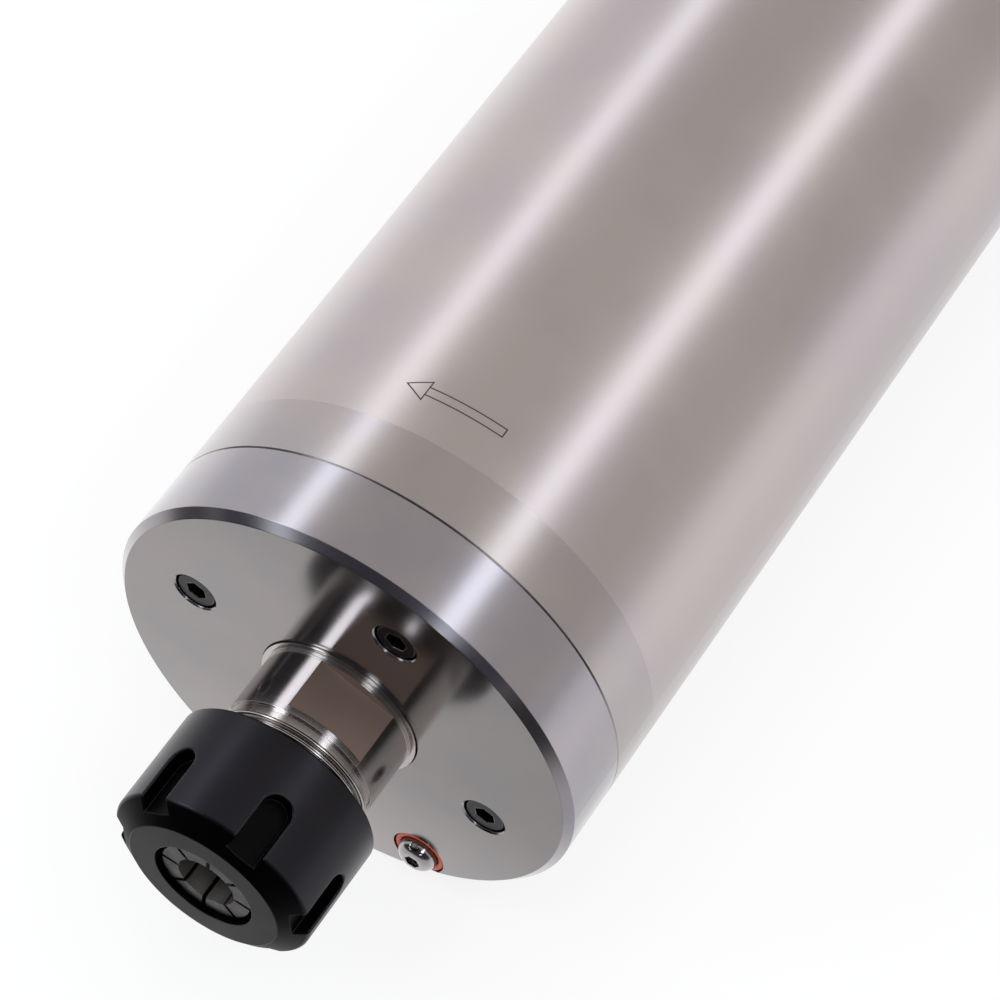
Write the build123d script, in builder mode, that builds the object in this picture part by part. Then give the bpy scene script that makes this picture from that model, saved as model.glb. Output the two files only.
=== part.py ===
from build123d import *
import os
from dataclasses import dataclass
from math import cos, hypot, radians, sin, tan

os.makedirs("parts", exist_ok=True)

# A water-cooled motor spindle with a collet nose, in millimetres. The spindle axis is Y and +Z
# is up. Stations are measured along +Y from the mouth of the collet, towards the rear cover.
# Angles round the axis are measured from +X towards +Z.

# ---- Driving dimensions: body ----
BODY_R = 50.0  # ground outside of the housing, the surface that a mount clamps
NOSE_TO_COVER = 44.0  # mouth of the collet to the face of the front cover
COVER_LEN = 17.1
SEAT_RIM_LEN = 12.65  # part of the front bearing housing that shows
SLEEVE_LEN = 190.0
SLEEVE_WALL = 3.5
REAR_RIM_LEN = 12.0
REAR_COVER_LEN = 22.0
END_CHAMFER = 1.6
JOINT_CHAMFER = 0.25  # small break of the edges at each joint of the body
STATIC_GAP = 0.03  # between parts that are fitted together and do not move
LABYRINTH_GAP = 0.2  # between the shaft and the bore of the front cover

# ---- Driving dimensions: collet nose ----
COLLET_LEN = 34.0
COLLET_R = 13.0  # where the long taper meets the groove
COLLET_FACE_R = 9.5
COLLET_TAPER = 8.0  # degrees, half angle of the long taper
NOSE_CONE = 30.0  # degrees, half angle of the short cone under the nut
TOOL_R = 6.0  # bore that holds a 12 mm shank
TOOL_GRIP = 24.0
TOOL_RELIEF = 0.5
GROOVE_FLOOR_R = 11.3
GROOVE_WIDTH = 2.2
SLIT_COUNT = 8
SLIT_WIDTH = 0.8
SLIT_WEB = 6.5  # metal left between a slit and the far end of the collet
SLIT_PHASE = -8.0
NUT_R = 21.0
NUT_LEN = 24.5
NUT_OVERHANG = 1.0  # face of the nut in front of the mouth of the collet
NUT_FACE_R = 15.95
NUT_BEVEL = 30.0  # degrees, slope of the bevel at the front of the nut
NUT_EDGE = 0.4
NUT_ROUND = 1.0  # between the bevel and the outside of the nut
SLOT_ROUND = 0.4  # rims of the wrench slots
NUT_MOUTH_R = 10.5
NUT_RING_R = 12.2  # inner edge of the ring that pulls the collet out by its groove
WRENCH_SLOTS = 6
WRENCH_SLOT_WIDTH = 6.1
WRENCH_SLOT_FLOOR = 18.05  # flat floor of a slot, from the axis
WRENCH_SLOT_LEN = 14.3
WRENCH_SLOT_PHASE = 62.8
THREAD_R = 16.0
THREAD_DEPTH = 0.9
THREAD_LEN = 21.0
THREAD_GAP = 0.15
TAPER_GAP = 0.08

# ---- Driving dimensions: shaft ----
SHAFT_SET_BACK = 9.0  # end of the shaft behind the mouth of the collet
SHAFT_R = 15.85
FLAT_SPAN = 27.0  # across the two wrench flats
FLAT_LEN = 11.15
FLAT_SET_OUT = 1.55  # flats in front of the cover
FLAT_PHASE = 66.0
NECK_R = 17.0
NECK_SET_OUT = 0.5
SHAFT_TAIL = 0.5  # shaft behind its rear lock nut
NECK_LEN = 6.5
FLINGER_R = 21.0  # labyrinth collar that runs inside the cover
FLINGER_GROOVE = 1.4
FLINGER_GAP = 0.5  # from the collar to the cover in front of it
FLINGER_SET_IN = 1.6  # from the collar to the first bearing
FRONT_SHOULDER_RISE = 3.0
REAR_SHOULDER_RISE = 1.5
SHAFT_HOLE_R = 6.5
SHAFT_HOLE_LEN = 60.0
TAPER_TAIL = 4.0  # taper behind the collet
ROTOR_SEAT_R = 14.6
LOCK_NUT_LEN = 9.0
REAR_LOCK_NUT_LEN = 7.0
LOCK_NUT_WALL = 6.5
LOCK_SLOTS = 4
LOCK_SLOT_WIDTH = 4.0
LOCK_SLOT_DEPTH = 2.0

# ---- Driving dimensions: front cover ----
SCREW_CIRCLE_R = 34.0
COVER_SCREWS = 4
COVER_SCREW_PHASE = 67.5
SCREW_R = 2.5
SCREW_CLEAR_R = 2.75
SCREW_LEN = 22.0
SCREW_HEAD_R = 4.25
SCREW_HEAD_LEN = 5.0
SCREW_HEX = 4.0
SCREW_SUNK = 0.45  # head below the face
DRILL_OVERRUN = 1.6  # hole beyond the end of its screw
SINK_CLEAR = 0.25
SINK_CHAMFER = 0.3
BLEED_INSET = 6.8  # from the outside of the cover
BLEED_CIRCLE_R = BODY_R - BLEED_INSET
BLEED_PHASE = -67.5
BLEED_HEAD_R = 4.1
BLEED_HEAD_H = 2.4
BLEED_DOME_R = 2.2
BLEED_HEX = 3.0
BLEED_SHANK_R = 2.0
BLEED_SHANK_LEN = 9.0
BLEED_TIP_GAP = 0.5
SEAL_TUBE_R = 0.75
SEAL_SUNK = 0.15

# ---- Driving dimensions: motor and cooling ----
STATOR_LEN = 90.0
JACKET_WALL = 6.5  # from the sleeve to the stator, with the water channels in it
STATOR_R = BODY_R - SLEEVE_WALL - JACKET_WALL
BORE_SHARE = 0.44  # place of the air gap between the shaft and the outside of the stator
STATOR_BORE_R = ROTOR_SEAT_R + BORE_SHARE * (STATOR_R - ROTOR_SEAT_R)
STATOR_SLOTS = 24
SLOT_SHARE = 0.6  # depth of a slot as a share of the stator
STATOR_SLOT_WIDTH = 3.6
SLOT_MOUTH = 1.6
TOOTH_TIP = 1.2
STATOR_SLOT_DEPTH = SLOT_SHARE * (STATOR_R - STATOR_BORE_R)
SLOT_LINER = 0.25
END_TURN_LEN = 12.0
END_TURN_CLEAR = 4.0
AIR_GAP = 0.4
ROTOR_BARS = 28
BAR_WIDTH = 2.2
BAR_SHARE = 0.56  # height of a bar as a share of the rotor
BAR_HEIGHT = BAR_SHARE * (STATOR_BORE_R - AIR_GAP - ROTOR_SEAT_R)
BAR_COVER = 1.0  # rotor steel outside a bar
END_RING_LEN = 8.0
CHANNELS = 7
CHANNEL_WIDTH = 12.0
CHANNEL_DEPTH = 3.2
CHANNEL_ARC = 316.0  # degrees; the rest is the wall that turns the water back
CHANNEL_MIDDLE = 270.0  # middle of that wall
CROSSING_ARC = 14.0
RETURN_WIDTH = 5.0
COLLECTOR_LEN = 4.0  # groove at the rear of the jacket that takes the water to the outlet
PASSAGE_R = 2.1
O_RING_R = 1.4
FRONT_SHOULDER = 5.0
REAR_SPIGOT_LEN = 33.0
REAR_WALL = 5.0
REAR_SEAL_SET_IN = 10.0
SPACER_LEN = 8.0
COVER_SPIGOT_LEN = 1.5
SPRING_SPACE = 4.0
SPRING_PLATES = 3
SPRING_PLATE = 0.8
CARRIER_R = 30.0
CARRIER_LIP = 1.5
CARRIER_GAP = 0.05

# ---- Driving dimensions: rear cover, socket and water fittings ----
REAR_SCREWS = 6
REAR_SCREW_INSET = 7.0
REAR_SCREW_CIRCLE_R = BODY_R - REAR_SCREW_INSET
REAR_SCREW_LEN = 33.0
CAVITY_R = 24.0
REAR_WALL_LEN = 7.0
SOCKET_RISE = 17.0  # centre of the power socket above the axis
SOCKET_R = 13.5
SOCKET_FLANGE_MARGIN = 1.5
SOCKET_FLANGE = 2 * (SOCKET_R + SOCKET_FLANGE_MARGIN)
SOCKET_FLANGE_LEN = 3.0
SOCKET_WALL = 2.4
SOCKET_LEN = 12.0
SOCKET_SCREW_INSET = 3.0
SOCKET_SCREW_SPACING = SOCKET_FLANGE - 2 * SOCKET_SCREW_INSET
SOCKET_SCREW_R = 1.5
SOCKET_SCREW_HEAD_R = 2.7
SOCKET_SCREW_HEAD_LEN = 2.0
SOCKET_SCREW_HEX = 2.0
SOCKET_SCREW_LEN = 9.0
SOCKET_SCREW_TIP_GAP = 1.6
INSERT_SUNK = 3.0
SOCKET_KEY = 1.6
PINS = 4
PIN_R = 1.5
PIN_CIRCLE_R = 6.0
PIN_LEN = 9.0
PIN_TAIL = 4.0
PIN_CHAMFER = 0.5
LEAD_R = 0.85
LEAD_INSET = 4.0
LEAD_RISE = STATOR_R - LEAD_INSET
LEAD_PLACES = ((1, 1.1, 1.6), (-1, 3.3, 0.0))  # row of pins, then X and Z in the duct
LEAD_DUCT_R = 4.5
LEAD_CHAMBER_WIDTH = 12.0
PORT_INSET = 12.0
PORT_CIRCLE_R = BODY_R - PORT_INSET
PORT_PHASES = {"water_inlet": 210.0, "water_outlet": 330.0}
PORT_SHANK_R = 4.85
PORT_SHANK_LEN = 8.0
PORT_BORE_R = 2.5
JOINT_SEAL_R = 3.3
JOINT_SEAL_TUBE_R = 0.7
PORT_HEX = 14.0
PORT_HEX_LEN = 6.0
PORT_BARREL_R = 7.0
PORT_BARREL_LEN = 7.0
WASHER_R = 7.0
WASHER_LEN = 1.0
TUBE_R = 4.05  # bore for an 8 mm water tube
TUBE_GRIP = 5.5
COLLAR_BORE_R = 4.15
COLLAR_R = 5.4
COLLAR_DEPTH = 5.4
COLLAR_FLANGE_R = 6.6
COLLAR_FLANGE_LEN = 1.6
COLLAR_STAND_OFF = 1.5
COLLAR_TRAVEL = 1.2
COLLAR_GAP = 0.1


@dataclass(frozen=True)
class Bearing:
    """Sizes of one angular contact ball bearing."""

    bore_r: float
    outer_r: float
    width: float
    ball_r: float
    balls: int

    @property
    def pitch_r(self):
        return (self.bore_r + self.outer_r) / 2


FRONT_BEARING = Bearing(bore_r=15.0, outer_r=27.5, width=13.0, ball_r=3.57, balls=12)
REAR_BEARING = Bearing(bore_r=12.5, outer_r=23.5, width=12.0, ball_r=3.175, balls=12)
BALL_GAP = 0.06
LAND_SHARE = 0.55  # height of a raceway shoulder as a share of the ball
CAGE_WALL = 1.1
CAGE_MARGIN = 1.2

# ---- Stations along the axis, all worked out from the lengths above ----
COVER_FACE = NOSE_TO_COVER
SEAT_FRONT = COVER_FACE + COVER_LEN
SLEEVE_FRONT = SEAT_FRONT + SEAT_RIM_LEN
SLEEVE_REAR = SLEEVE_FRONT + SLEEVE_LEN
REAR_JOINT = SLEEVE_REAR + REAR_RIM_LEN
REAR_FACE = REAR_JOINT + REAR_COVER_LEN

FRONT_STACK = SEAT_FRONT + COVER_SPIGOT_LEN
FRONT_ROWS = (FRONT_STACK, FRONT_STACK + FRONT_BEARING.width + SPACER_LEN)
FRONT_STACK_END = FRONT_ROWS[1] + FRONT_BEARING.width
SEAT_REAR = FRONT_STACK_END + FRONT_SHOULDER

STATOR_FRONT = SEAT_REAR + END_TURN_CLEAR + END_TURN_LEN
STATOR_REAR = STATOR_FRONT + STATOR_LEN
REAR_HOUSING_FRONT = SLEEVE_REAR - REAR_SPIGOT_LEN
CARRIER_BORE_FRONT = REAR_HOUSING_FRONT + REAR_WALL
CARRIER_FRONT = CARRIER_BORE_FRONT + SPRING_SPACE
REAR_STACK = CARRIER_FRONT + CARRIER_LIP
REAR_ROWS = (REAR_STACK, REAR_STACK + REAR_BEARING.width)
REAR_STACK_END = REAR_ROWS[1] + REAR_BEARING.width
SHAFT_REAR = REAR_STACK_END + REAR_LOCK_NUT_LEN + SHAFT_TAIL

NUT_FRONT = -NUT_OVERHANG
NUT_REAR = NUT_FRONT + NUT_LEN
BEVEL_END = NUT_FRONT + (NUT_R - NUT_FACE_R) * tan(radians(NUT_BEVEL))
CONE_END = (COLLET_R - COLLET_FACE_R) / tan(radians(NOSE_CONE))
GROOVE_END = CONE_END + GROOVE_WIDTH
THREAD_END = SHAFT_SET_BACK + THREAD_LEN
FLAT_REAR = COVER_FACE - FLAT_SET_OUT
NECK_FRONT = COVER_FACE - NECK_SET_OUT
NECK_REAR = NECK_FRONT + NECK_LEN
FLINGER_REAR = FRONT_STACK - FLINGER_SET_IN
ROTOR_R = STATOR_BORE_R - AIR_GAP
SPIGOT_R = BODY_R - SLEEVE_WALL - STATIC_GAP
HEX_FRONT = REAR_FACE + WASHER_LEN
HEX_REAR = HEX_FRONT + PORT_HEX_LEN
PORT_END = HEX_REAR + PORT_BARREL_LEN
SHOULDER_R = FRONT_BEARING.bore_r + FRONT_SHOULDER_RISE

STANDING = (Align.CENTER, Align.CENTER, Align.MIN)  # a solid that stands on its plane


def collet_r(station):
    """Radius of the long taper at a station."""
    return COLLET_R - (station - GROOVE_END) * tan(radians(COLLET_TAPER))


def around(angle):
    """Plane through the axis whose local X points out of the axis at an angle, and local Y along it."""
    turn = radians(angle)
    return Plane(origin=(0, 0, 0), x_dir=(cos(turn), 0, sin(turn)), z_dir=(-sin(turn), 0, cos(turn)))


def across(station):
    """Plane square to the axis that looks out of the nose, with local X along +X and local Y along +Z."""
    return Plane(origin=(0, station, 0), x_dir=(1, 0, 0), z_dir=(0, -1, 0))


def behind(station):
    """Plane square to the axis that looks out of the rear, with local X along -X and local Y along +Z."""
    return Plane(origin=(0, station, 0), x_dir=(-1, 0, 0), z_dir=(0, 1, 0))


def outline(*points, angle=0.0):
    """Section through the axis, from its corners as (radius, station)."""
    with BuildSketch(around(angle)) as section:
        with BuildLine():
            Polyline(*points, close=True)
        make_face()
    return section.sketch


def band(inner, outer, front, rear, angle=0.0):
    """Section of a plain ring between two radii and two stations."""
    return outline((inner, front), (outer, front), (outer, rear), (inner, rear), angle=angle)


def ring(middle_r, tube_r, station):
    """Section of an O-ring."""
    with BuildSketch(around(0)) as section:
        with Locations((middle_r, station)):
            Circle(tube_r)
    return section.sketch


def outer_ring(bearing, front):
    """Section of a bearing's outer ring, with its ball groove."""
    middle = front + bearing.width / 2
    land = bearing.pitch_r + LAND_SHARE * bearing.ball_r
    with BuildSketch(around(0)) as section:
        add(band(land, bearing.outer_r - STATIC_GAP, front, front + bearing.width - STATIC_GAP))
        with Locations((bearing.pitch_r, middle)):
            Circle(bearing.ball_r + BALL_GAP, mode=Mode.SUBTRACT)
    return section.sketch


def inner_ring(bearing, front):
    """Section of a bearing's inner ring, with its ball groove."""
    middle = front + bearing.width / 2
    land = bearing.pitch_r - LAND_SHARE * bearing.ball_r
    with BuildSketch(around(0)) as section:
        add(band(bearing.bore_r + STATIC_GAP, land, front, front + bearing.width - STATIC_GAP))
        with Locations((bearing.pitch_r, middle)):
            Circle(bearing.ball_r + BALL_GAP, mode=Mode.SUBTRACT)
    return section.sketch


def ball_row(bearing, front):
    """The balls of one bearing."""
    middle = front + bearing.width / 2
    with BuildPart() as row:
        with Locations(across(middle)):
            with PolarLocations(bearing.pitch_r, bearing.balls):
                Sphere(bearing.ball_r)
    return row.part


def cage_row(bearing, front):
    """The cage of one bearing: a ring with a round pocket for each ball."""
    middle = front + bearing.width / 2
    half = bearing.width / 2 - CAGE_MARGIN
    with BuildPart() as row:
        inner = bearing.pitch_r - CAGE_WALL
        revolve(band(inner, bearing.pitch_r + CAGE_WALL, middle - half, middle + half), axis=Axis.Y)
        for index in range(bearing.balls):
            turn = radians(index * 360 / bearing.balls)
            with BuildSketch(Plane((0, middle, 0), x_dir=(0, 1, 0), z_dir=(cos(turn), 0, sin(turn)))):
                Circle(bearing.ball_r + 2 * BALL_GAP)
            extrude(amount=bearing.outer_r, mode=Mode.SUBTRACT)
    return row.part


def screw(head_r, head_len, shank_r, length, hex_size, edge, domed=False):
    """Socket screw that stands on Z, with the top of its head at the origin."""
    with BuildPart() as form:
        with BuildSketch():
            Circle(head_r)
        extrude(amount=-head_len)
        top = form.edges().group_by(Axis.Z)[-1]
        if domed:
            fillet(top, edge)
        else:
            chamfer(top, edge)
        with BuildSketch(Plane.XY.offset(-head_len)):
            Circle(shank_r)
        extrude(amount=head_len - length)
        with BuildSketch():
            RegularPolygon(hex_size / 2, 6, major_radius=False)
        extrude(amount=-head_len / 2, mode=Mode.SUBTRACT)
    return form.part


def lock_nut(bore_r, front, length):
    """Slotted round nut that holds a stack of bearings on the shaft."""
    outer = bore_r + LOCK_NUT_WALL
    with BuildPart() as nut:
        revolve(band(bore_r + STATIC_GAP, outer, front, front + length), axis=Axis.Y)
        with BuildSketch(across(front)):
            with PolarLocations(outer, LOCK_SLOTS):
                Rectangle(2 * LOCK_SLOT_DEPTH, LOCK_SLOT_WIDTH)
        extrude(amount=-length, mode=Mode.SUBTRACT)
    return nut.part


def is_slot_rim(edge):
    """Whether an edge of the nut is the rim of a wrench slot: it runs along the axis, outside the floor."""
    places = [edge @ share for share in (0, 0.5, 1)]
    stations = [place.Y for place in places]
    floor_corner_r = hypot(WRENCH_SLOT_FLOOR, WRENCH_SLOT_WIDTH / 2)
    outermost = max(hypot(place.X, place.Z) for place in places)
    return max(stations) - min(stations) > STATIC_GAP and outermost > floor_corner_r + STATIC_GAP


# ---- Collet nose ----
with BuildPart() as collet:
    revolve(
        outline(
            (TOOL_R, 0),
            (COLLET_FACE_R, 0),
            (COLLET_R, CONE_END),
            (GROOVE_FLOOR_R, CONE_END),
            (GROOVE_FLOOR_R, GROOVE_END),
            (COLLET_R, GROOVE_END),
            (collet_r(COLLET_LEN), COLLET_LEN),
            (TOOL_R + TOOL_RELIEF, COLLET_LEN),
            (TOOL_R + TOOL_RELIEF, TOOL_GRIP),
            (TOOL_R, TOOL_GRIP),
        ),
        axis=Axis.Y,
    )
    with BuildSketch(across(0)):
        with PolarLocations(0, SLIT_COUNT // 2, start_angle=SLIT_PHASE, angular_range=180):
            Rectangle(2 * COLLET_R + SLIT_WIDTH, SLIT_WIDTH)
    extrude(amount=SLIT_WEB - COLLET_LEN, mode=Mode.SUBTRACT)
    with BuildSketch(across(COLLET_LEN)):
        rear_phase = SLIT_PHASE + 180 / SLIT_COUNT
        with PolarLocations(0, SLIT_COUNT // 2, start_angle=rear_phase, angular_range=180):
            Rectangle(2 * COLLET_R + SLIT_WIDTH, SLIT_WIDTH)
    extrude(amount=COLLET_LEN - GROOVE_END - TAPER_TAIL, mode=Mode.SUBTRACT)
collet.part.label = "collet"
export_step(collet.part, "parts/collet.step")

with BuildPart() as collet_nut:
    cone_gap = TAPER_GAP / cos(radians(NOSE_CONE))
    nut_bore_r = THREAD_R + THREAD_GAP
    mouth_end = (NUT_MOUTH_R - COLLET_FACE_R - cone_gap) / tan(radians(NOSE_CONE))
    ring_front = CONE_END + TAPER_GAP
    ring_rear = GROOVE_END - TAPER_GAP
    revolve(
        outline(
            (NUT_MOUTH_R, NUT_FRONT),
            (NUT_FACE_R, NUT_FRONT),
            (NUT_R, BEVEL_END),
            (NUT_R, NUT_REAR - NUT_EDGE),
            (NUT_R - NUT_EDGE, NUT_REAR),
            (nut_bore_r, NUT_REAR),
            (nut_bore_r, ring_rear),
            (NUT_RING_R, ring_rear),
            (NUT_RING_R, ring_front),
            (COLLET_R + cone_gap, ring_front),
            (COLLET_R + cone_gap, CONE_END),
            (NUT_MOUTH_R, mouth_end),
        ),
        axis=Axis.Y,
    )
    bevel_edges = collet_nut.edges().filter_by_position(Axis.Y, BEVEL_END, BEVEL_END)
    fillet(bevel_edges, NUT_ROUND)
    for index in range(WRENCH_SLOTS):
        turn = radians(WRENCH_SLOT_PHASE + index * 360 / WRENCH_SLOTS)
        outwards = (cos(turn), 0, sin(turn))
        slot_plane = Plane(origin=(0, NUT_FRONT, 0), x_dir=(0, 1, 0), z_dir=outwards)
        with BuildSketch(slot_plane.offset(WRENCH_SLOT_FLOOR)):
            SlotOverall(2 * WRENCH_SLOT_LEN, WRENCH_SLOT_WIDTH)
        extrude(amount=NUT_R, mode=Mode.SUBTRACT)
    fillet(collet_nut.edges().filter_by(is_slot_rim), SLOT_ROUND)
collet_nut.part.label = "collet_nut"
export_step(collet_nut.part, "parts/collet_nut.step")

# ---- Spinning parts ----
with BuildPart() as shaft:
    thread_core_r = THREAD_R - THREAD_DEPTH
    mouth_r = collet_r(SHAFT_SET_BACK) + TAPER_GAP
    taper_end = COLLET_LEN + TAPER_TAIL
    tail_r = collet_r(taper_end) + TAPER_GAP
    rear_bearing_shoulder_r = REAR_BEARING.bore_r + REAR_SHOULDER_RISE
    revolve(
        outline(
            (mouth_r, SHAFT_SET_BACK),
            (thread_core_r - NUT_EDGE, SHAFT_SET_BACK),
            (thread_core_r, SHAFT_SET_BACK + NUT_EDGE),
            (thread_core_r, THREAD_END),
            (SHAFT_R, THREAD_END),
            (SHAFT_R, NECK_FRONT),
            (NECK_R, NECK_FRONT),
            (NECK_R, NECK_REAR),
            (FLINGER_R, NECK_REAR),
            (FLINGER_R, FLINGER_REAR),
            (SHOULDER_R, FLINGER_REAR),
            (SHOULDER_R, FRONT_STACK),
            (FRONT_BEARING.bore_r, FRONT_STACK),
            (FRONT_BEARING.bore_r, FRONT_STACK_END + LOCK_NUT_LEN),
            (ROTOR_SEAT_R, FRONT_STACK_END + LOCK_NUT_LEN),
            (ROTOR_SEAT_R, CARRIER_BORE_FRONT),
            (rear_bearing_shoulder_r, CARRIER_BORE_FRONT),
            (rear_bearing_shoulder_r, REAR_STACK),
            (REAR_BEARING.bore_r, REAR_STACK),
            (REAR_BEARING.bore_r, SHAFT_REAR),
            (0, SHAFT_REAR),
            (0, taper_end + SHAFT_HOLE_LEN),
            (SHAFT_HOLE_R, taper_end + SHAFT_HOLE_LEN),
            (SHAFT_HOLE_R, taper_end),
            (tail_r, taper_end),
        ),
        axis=Axis.Y,
    )
    floor_r = FLINGER_R - FLINGER_GROOVE
    for start in (NECK_REAR + FLINGER_GROOVE, NECK_REAR + 3 * FLINGER_GROOVE):
        groove = band(floor_r, 2 * FLINGER_R, start, start + FLINGER_GROOVE)
        revolve(groove, axis=Axis.Y, mode=Mode.SUBTRACT)
    with BuildSketch(across(FLAT_REAR)):
        with PolarLocations((FLAT_SPAN + NECK_R) / 2, 2, start_angle=FLAT_PHASE):
            Rectangle(NECK_R, 2 * NECK_R)
    extrude(amount=FLAT_LEN, mode=Mode.SUBTRACT)
shaft.part.label = "shaft"
export_step(shaft.part, "parts/shaft.step")

with BuildPart() as rotor_core:
    revolve(band(ROTOR_SEAT_R + STATIC_GAP, ROTOR_R, STATOR_FRONT, STATOR_REAR), axis=Axis.Y)
    bar_circle_r = ROTOR_R - BAR_COVER - BAR_HEIGHT / 2
    with BuildSketch(across(STATOR_FRONT)):
        with PolarLocations(bar_circle_r, ROTOR_BARS):
            Rectangle(BAR_HEIGHT, BAR_WIDTH)
    extrude(amount=-STATOR_LEN, mode=Mode.SUBTRACT)
rotor_core.part.label = "rotor_core"
export_step(rotor_core.part, "parts/rotor_core.step")

with BuildPart() as rotor_cage:
    ring_inner_r = bar_circle_r - BAR_HEIGHT / 2 - BAR_COVER
    for front in (STATOR_FRONT - END_RING_LEN, STATOR_REAR):
        revolve(band(ring_inner_r, ROTOR_R - STATIC_GAP, front, front + END_RING_LEN), axis=Axis.Y)
    with BuildSketch(across(STATOR_FRONT)):
        with PolarLocations(bar_circle_r, ROTOR_BARS):
            Rectangle(BAR_HEIGHT - 2 * STATIC_GAP, BAR_WIDTH - 2 * STATIC_GAP)
    extrude(amount=-STATOR_LEN)
rotor_cage.part.label = "rotor_cage"
export_step(rotor_cage.part, "parts/rotor_cage.step")

with BuildPart() as front_inner_rings:
    for front in FRONT_ROWS:
        revolve(inner_ring(FRONT_BEARING, front), axis=Axis.Y)
front_inner_rings.part.label = "front_inner_rings"
export_step(front_inner_rings.part, "parts/front_inner_rings.step")

with BuildPart() as front_inner_spacer:
    spacer_r = FRONT_BEARING.pitch_r - LAND_SHARE * FRONT_BEARING.ball_r
    spacer_front = FRONT_ROWS[0] + FRONT_BEARING.width
    revolve(band(FRONT_BEARING.bore_r + STATIC_GAP, spacer_r, spacer_front, FRONT_ROWS[1]), axis=Axis.Y)
front_inner_spacer.part.label = "front_inner_spacer"
export_step(front_inner_spacer.part, "parts/front_inner_spacer.step")

with BuildPart() as front_lock_nut:
    add(lock_nut(FRONT_BEARING.bore_r, FRONT_STACK_END, LOCK_NUT_LEN))
front_lock_nut.part.label = "front_lock_nut"
export_step(front_lock_nut.part, "parts/front_lock_nut.step")

with BuildPart() as rear_inner_rings:
    for front in REAR_ROWS:
        revolve(inner_ring(REAR_BEARING, front), axis=Axis.Y)
rear_inner_rings.part.label = "rear_inner_rings"
export_step(rear_inner_rings.part, "parts/rear_inner_rings.step")

with BuildPart() as rear_lock_nut:
    add(lock_nut(REAR_BEARING.bore_r, REAR_STACK_END, REAR_LOCK_NUT_LEN))
rear_lock_nut.part.label = "rear_lock_nut"
export_step(rear_lock_nut.part, "parts/rear_lock_nut.step")

# ---- Balls and cages, which roll round at their own speed ----
with BuildPart() as front_balls:
    for front in FRONT_ROWS:
        add(ball_row(FRONT_BEARING, front))
front_balls.part.label = "front_balls"
export_step(front_balls.part, "parts/front_balls.step")

with BuildPart() as front_cages:
    for front in FRONT_ROWS:
        add(cage_row(FRONT_BEARING, front))
front_cages.part.label = "front_cages"
export_step(front_cages.part, "parts/front_cages.step")

with BuildPart() as rear_balls:
    for front in REAR_ROWS:
        add(ball_row(REAR_BEARING, front))
rear_balls.part.label = "rear_balls"
export_step(rear_balls.part, "parts/rear_balls.step")

with BuildPart() as rear_cages:
    for front in REAR_ROWS:
        add(cage_row(REAR_BEARING, front))
rear_cages.part.label = "rear_cages"
export_step(rear_cages.part, "parts/rear_cages.step")

# ---- Front of the housing ----
sink_r = SCREW_HEAD_R + SINK_CLEAR
shank_r = SCREW_R - STATIC_GAP
bleed_sink_r = BLEED_HEAD_R + 2 * SEAL_TUBE_R + 3 * STATIC_GAP
bleed_sink_len = 2 * SEAL_TUBE_R + SEAL_SUNK
land_r = FRONT_BEARING.pitch_r + LAND_SHARE * FRONT_BEARING.ball_r

with BuildPart() as front_cover:
    neck_bore_r = NECK_R + LABYRINTH_GAP
    chamber_r = FLINGER_R + LABYRINTH_GAP
    cover_spigot_r = FRONT_BEARING.outer_r - STATIC_GAP
    chamber_front = NECK_REAR - FLINGER_GAP
    revolve(
        outline(
            (neck_bore_r, COVER_FACE),
            (BODY_R - END_CHAMFER, COVER_FACE),
            (BODY_R, COVER_FACE + END_CHAMFER),
            (BODY_R, SEAT_FRONT - JOINT_CHAMFER),
            (BODY_R - JOINT_CHAMFER, SEAT_FRONT),
            (cover_spigot_r, SEAT_FRONT),
            (cover_spigot_r, FRONT_STACK),
            (land_r, FRONT_STACK),
            (land_r, SEAT_FRONT),
            (chamber_r, SEAT_FRONT),
            (chamber_r, chamber_front),
            (neck_bore_r, chamber_front),
        ),
        axis=Axis.Y,
    )
    with Locations(across(COVER_FACE)):
        with PolarLocations(SCREW_CIRCLE_R, COVER_SCREWS, start_angle=COVER_SCREW_PHASE):
            CounterBoreHole(SCREW_CLEAR_R, sink_r, SCREW_HEAD_LEN + SCREW_SUNK)
    face_edges = front_cover.edges().filter_by_position(Axis.Y, COVER_FACE, COVER_FACE)
    chamfer(face_edges.filter_by(lambda edge: abs(edge.radius - sink_r) < STATIC_GAP), SINK_CHAMFER)
    with Locations(across(COVER_FACE)):
        with PolarLocations(BLEED_CIRCLE_R, 1, start_angle=BLEED_PHASE):
            bleed_hole_len = bleed_sink_len + BLEED_SHANK_LEN
            CounterBoreHole(BLEED_SHANK_R + STATIC_GAP, bleed_sink_r, bleed_sink_len, bleed_hole_len)
front_cover.part.label = "front_cover"
export_step(front_cover.part, "parts/front_cover.step")

cover_screw = screw(SCREW_HEAD_R, SCREW_HEAD_LEN, shank_r, SCREW_LEN, SCREW_HEX, SINK_CHAMFER)
with BuildPart() as cover_screws:
    with Locations(across(COVER_FACE + SCREW_SUNK)):
        with PolarLocations(SCREW_CIRCLE_R, COVER_SCREWS, start_angle=COVER_SCREW_PHASE):
            add(cover_screw)
cover_screws.part.label = "cover_screws"
export_step(cover_screws.part, "parts/cover_screws.step")

bleed_head_len = BLEED_HEAD_H + bleed_sink_len
bleed_len = bleed_head_len + BLEED_SHANK_LEN - BLEED_TIP_GAP
button_screw = screw(
    BLEED_HEAD_R, bleed_head_len, BLEED_SHANK_R, bleed_len, BLEED_HEX, BLEED_DOME_R, domed=True
)
with BuildPart() as bleed_screw:
    with Locations(across(COVER_FACE - BLEED_HEAD_H)):
        with PolarLocations(BLEED_CIRCLE_R, 1, start_angle=BLEED_PHASE):
            add(button_screw)
bleed_screw.part.label = "bleed_screw"
export_step(bleed_screw.part, "parts/bleed_screw.step")

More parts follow.
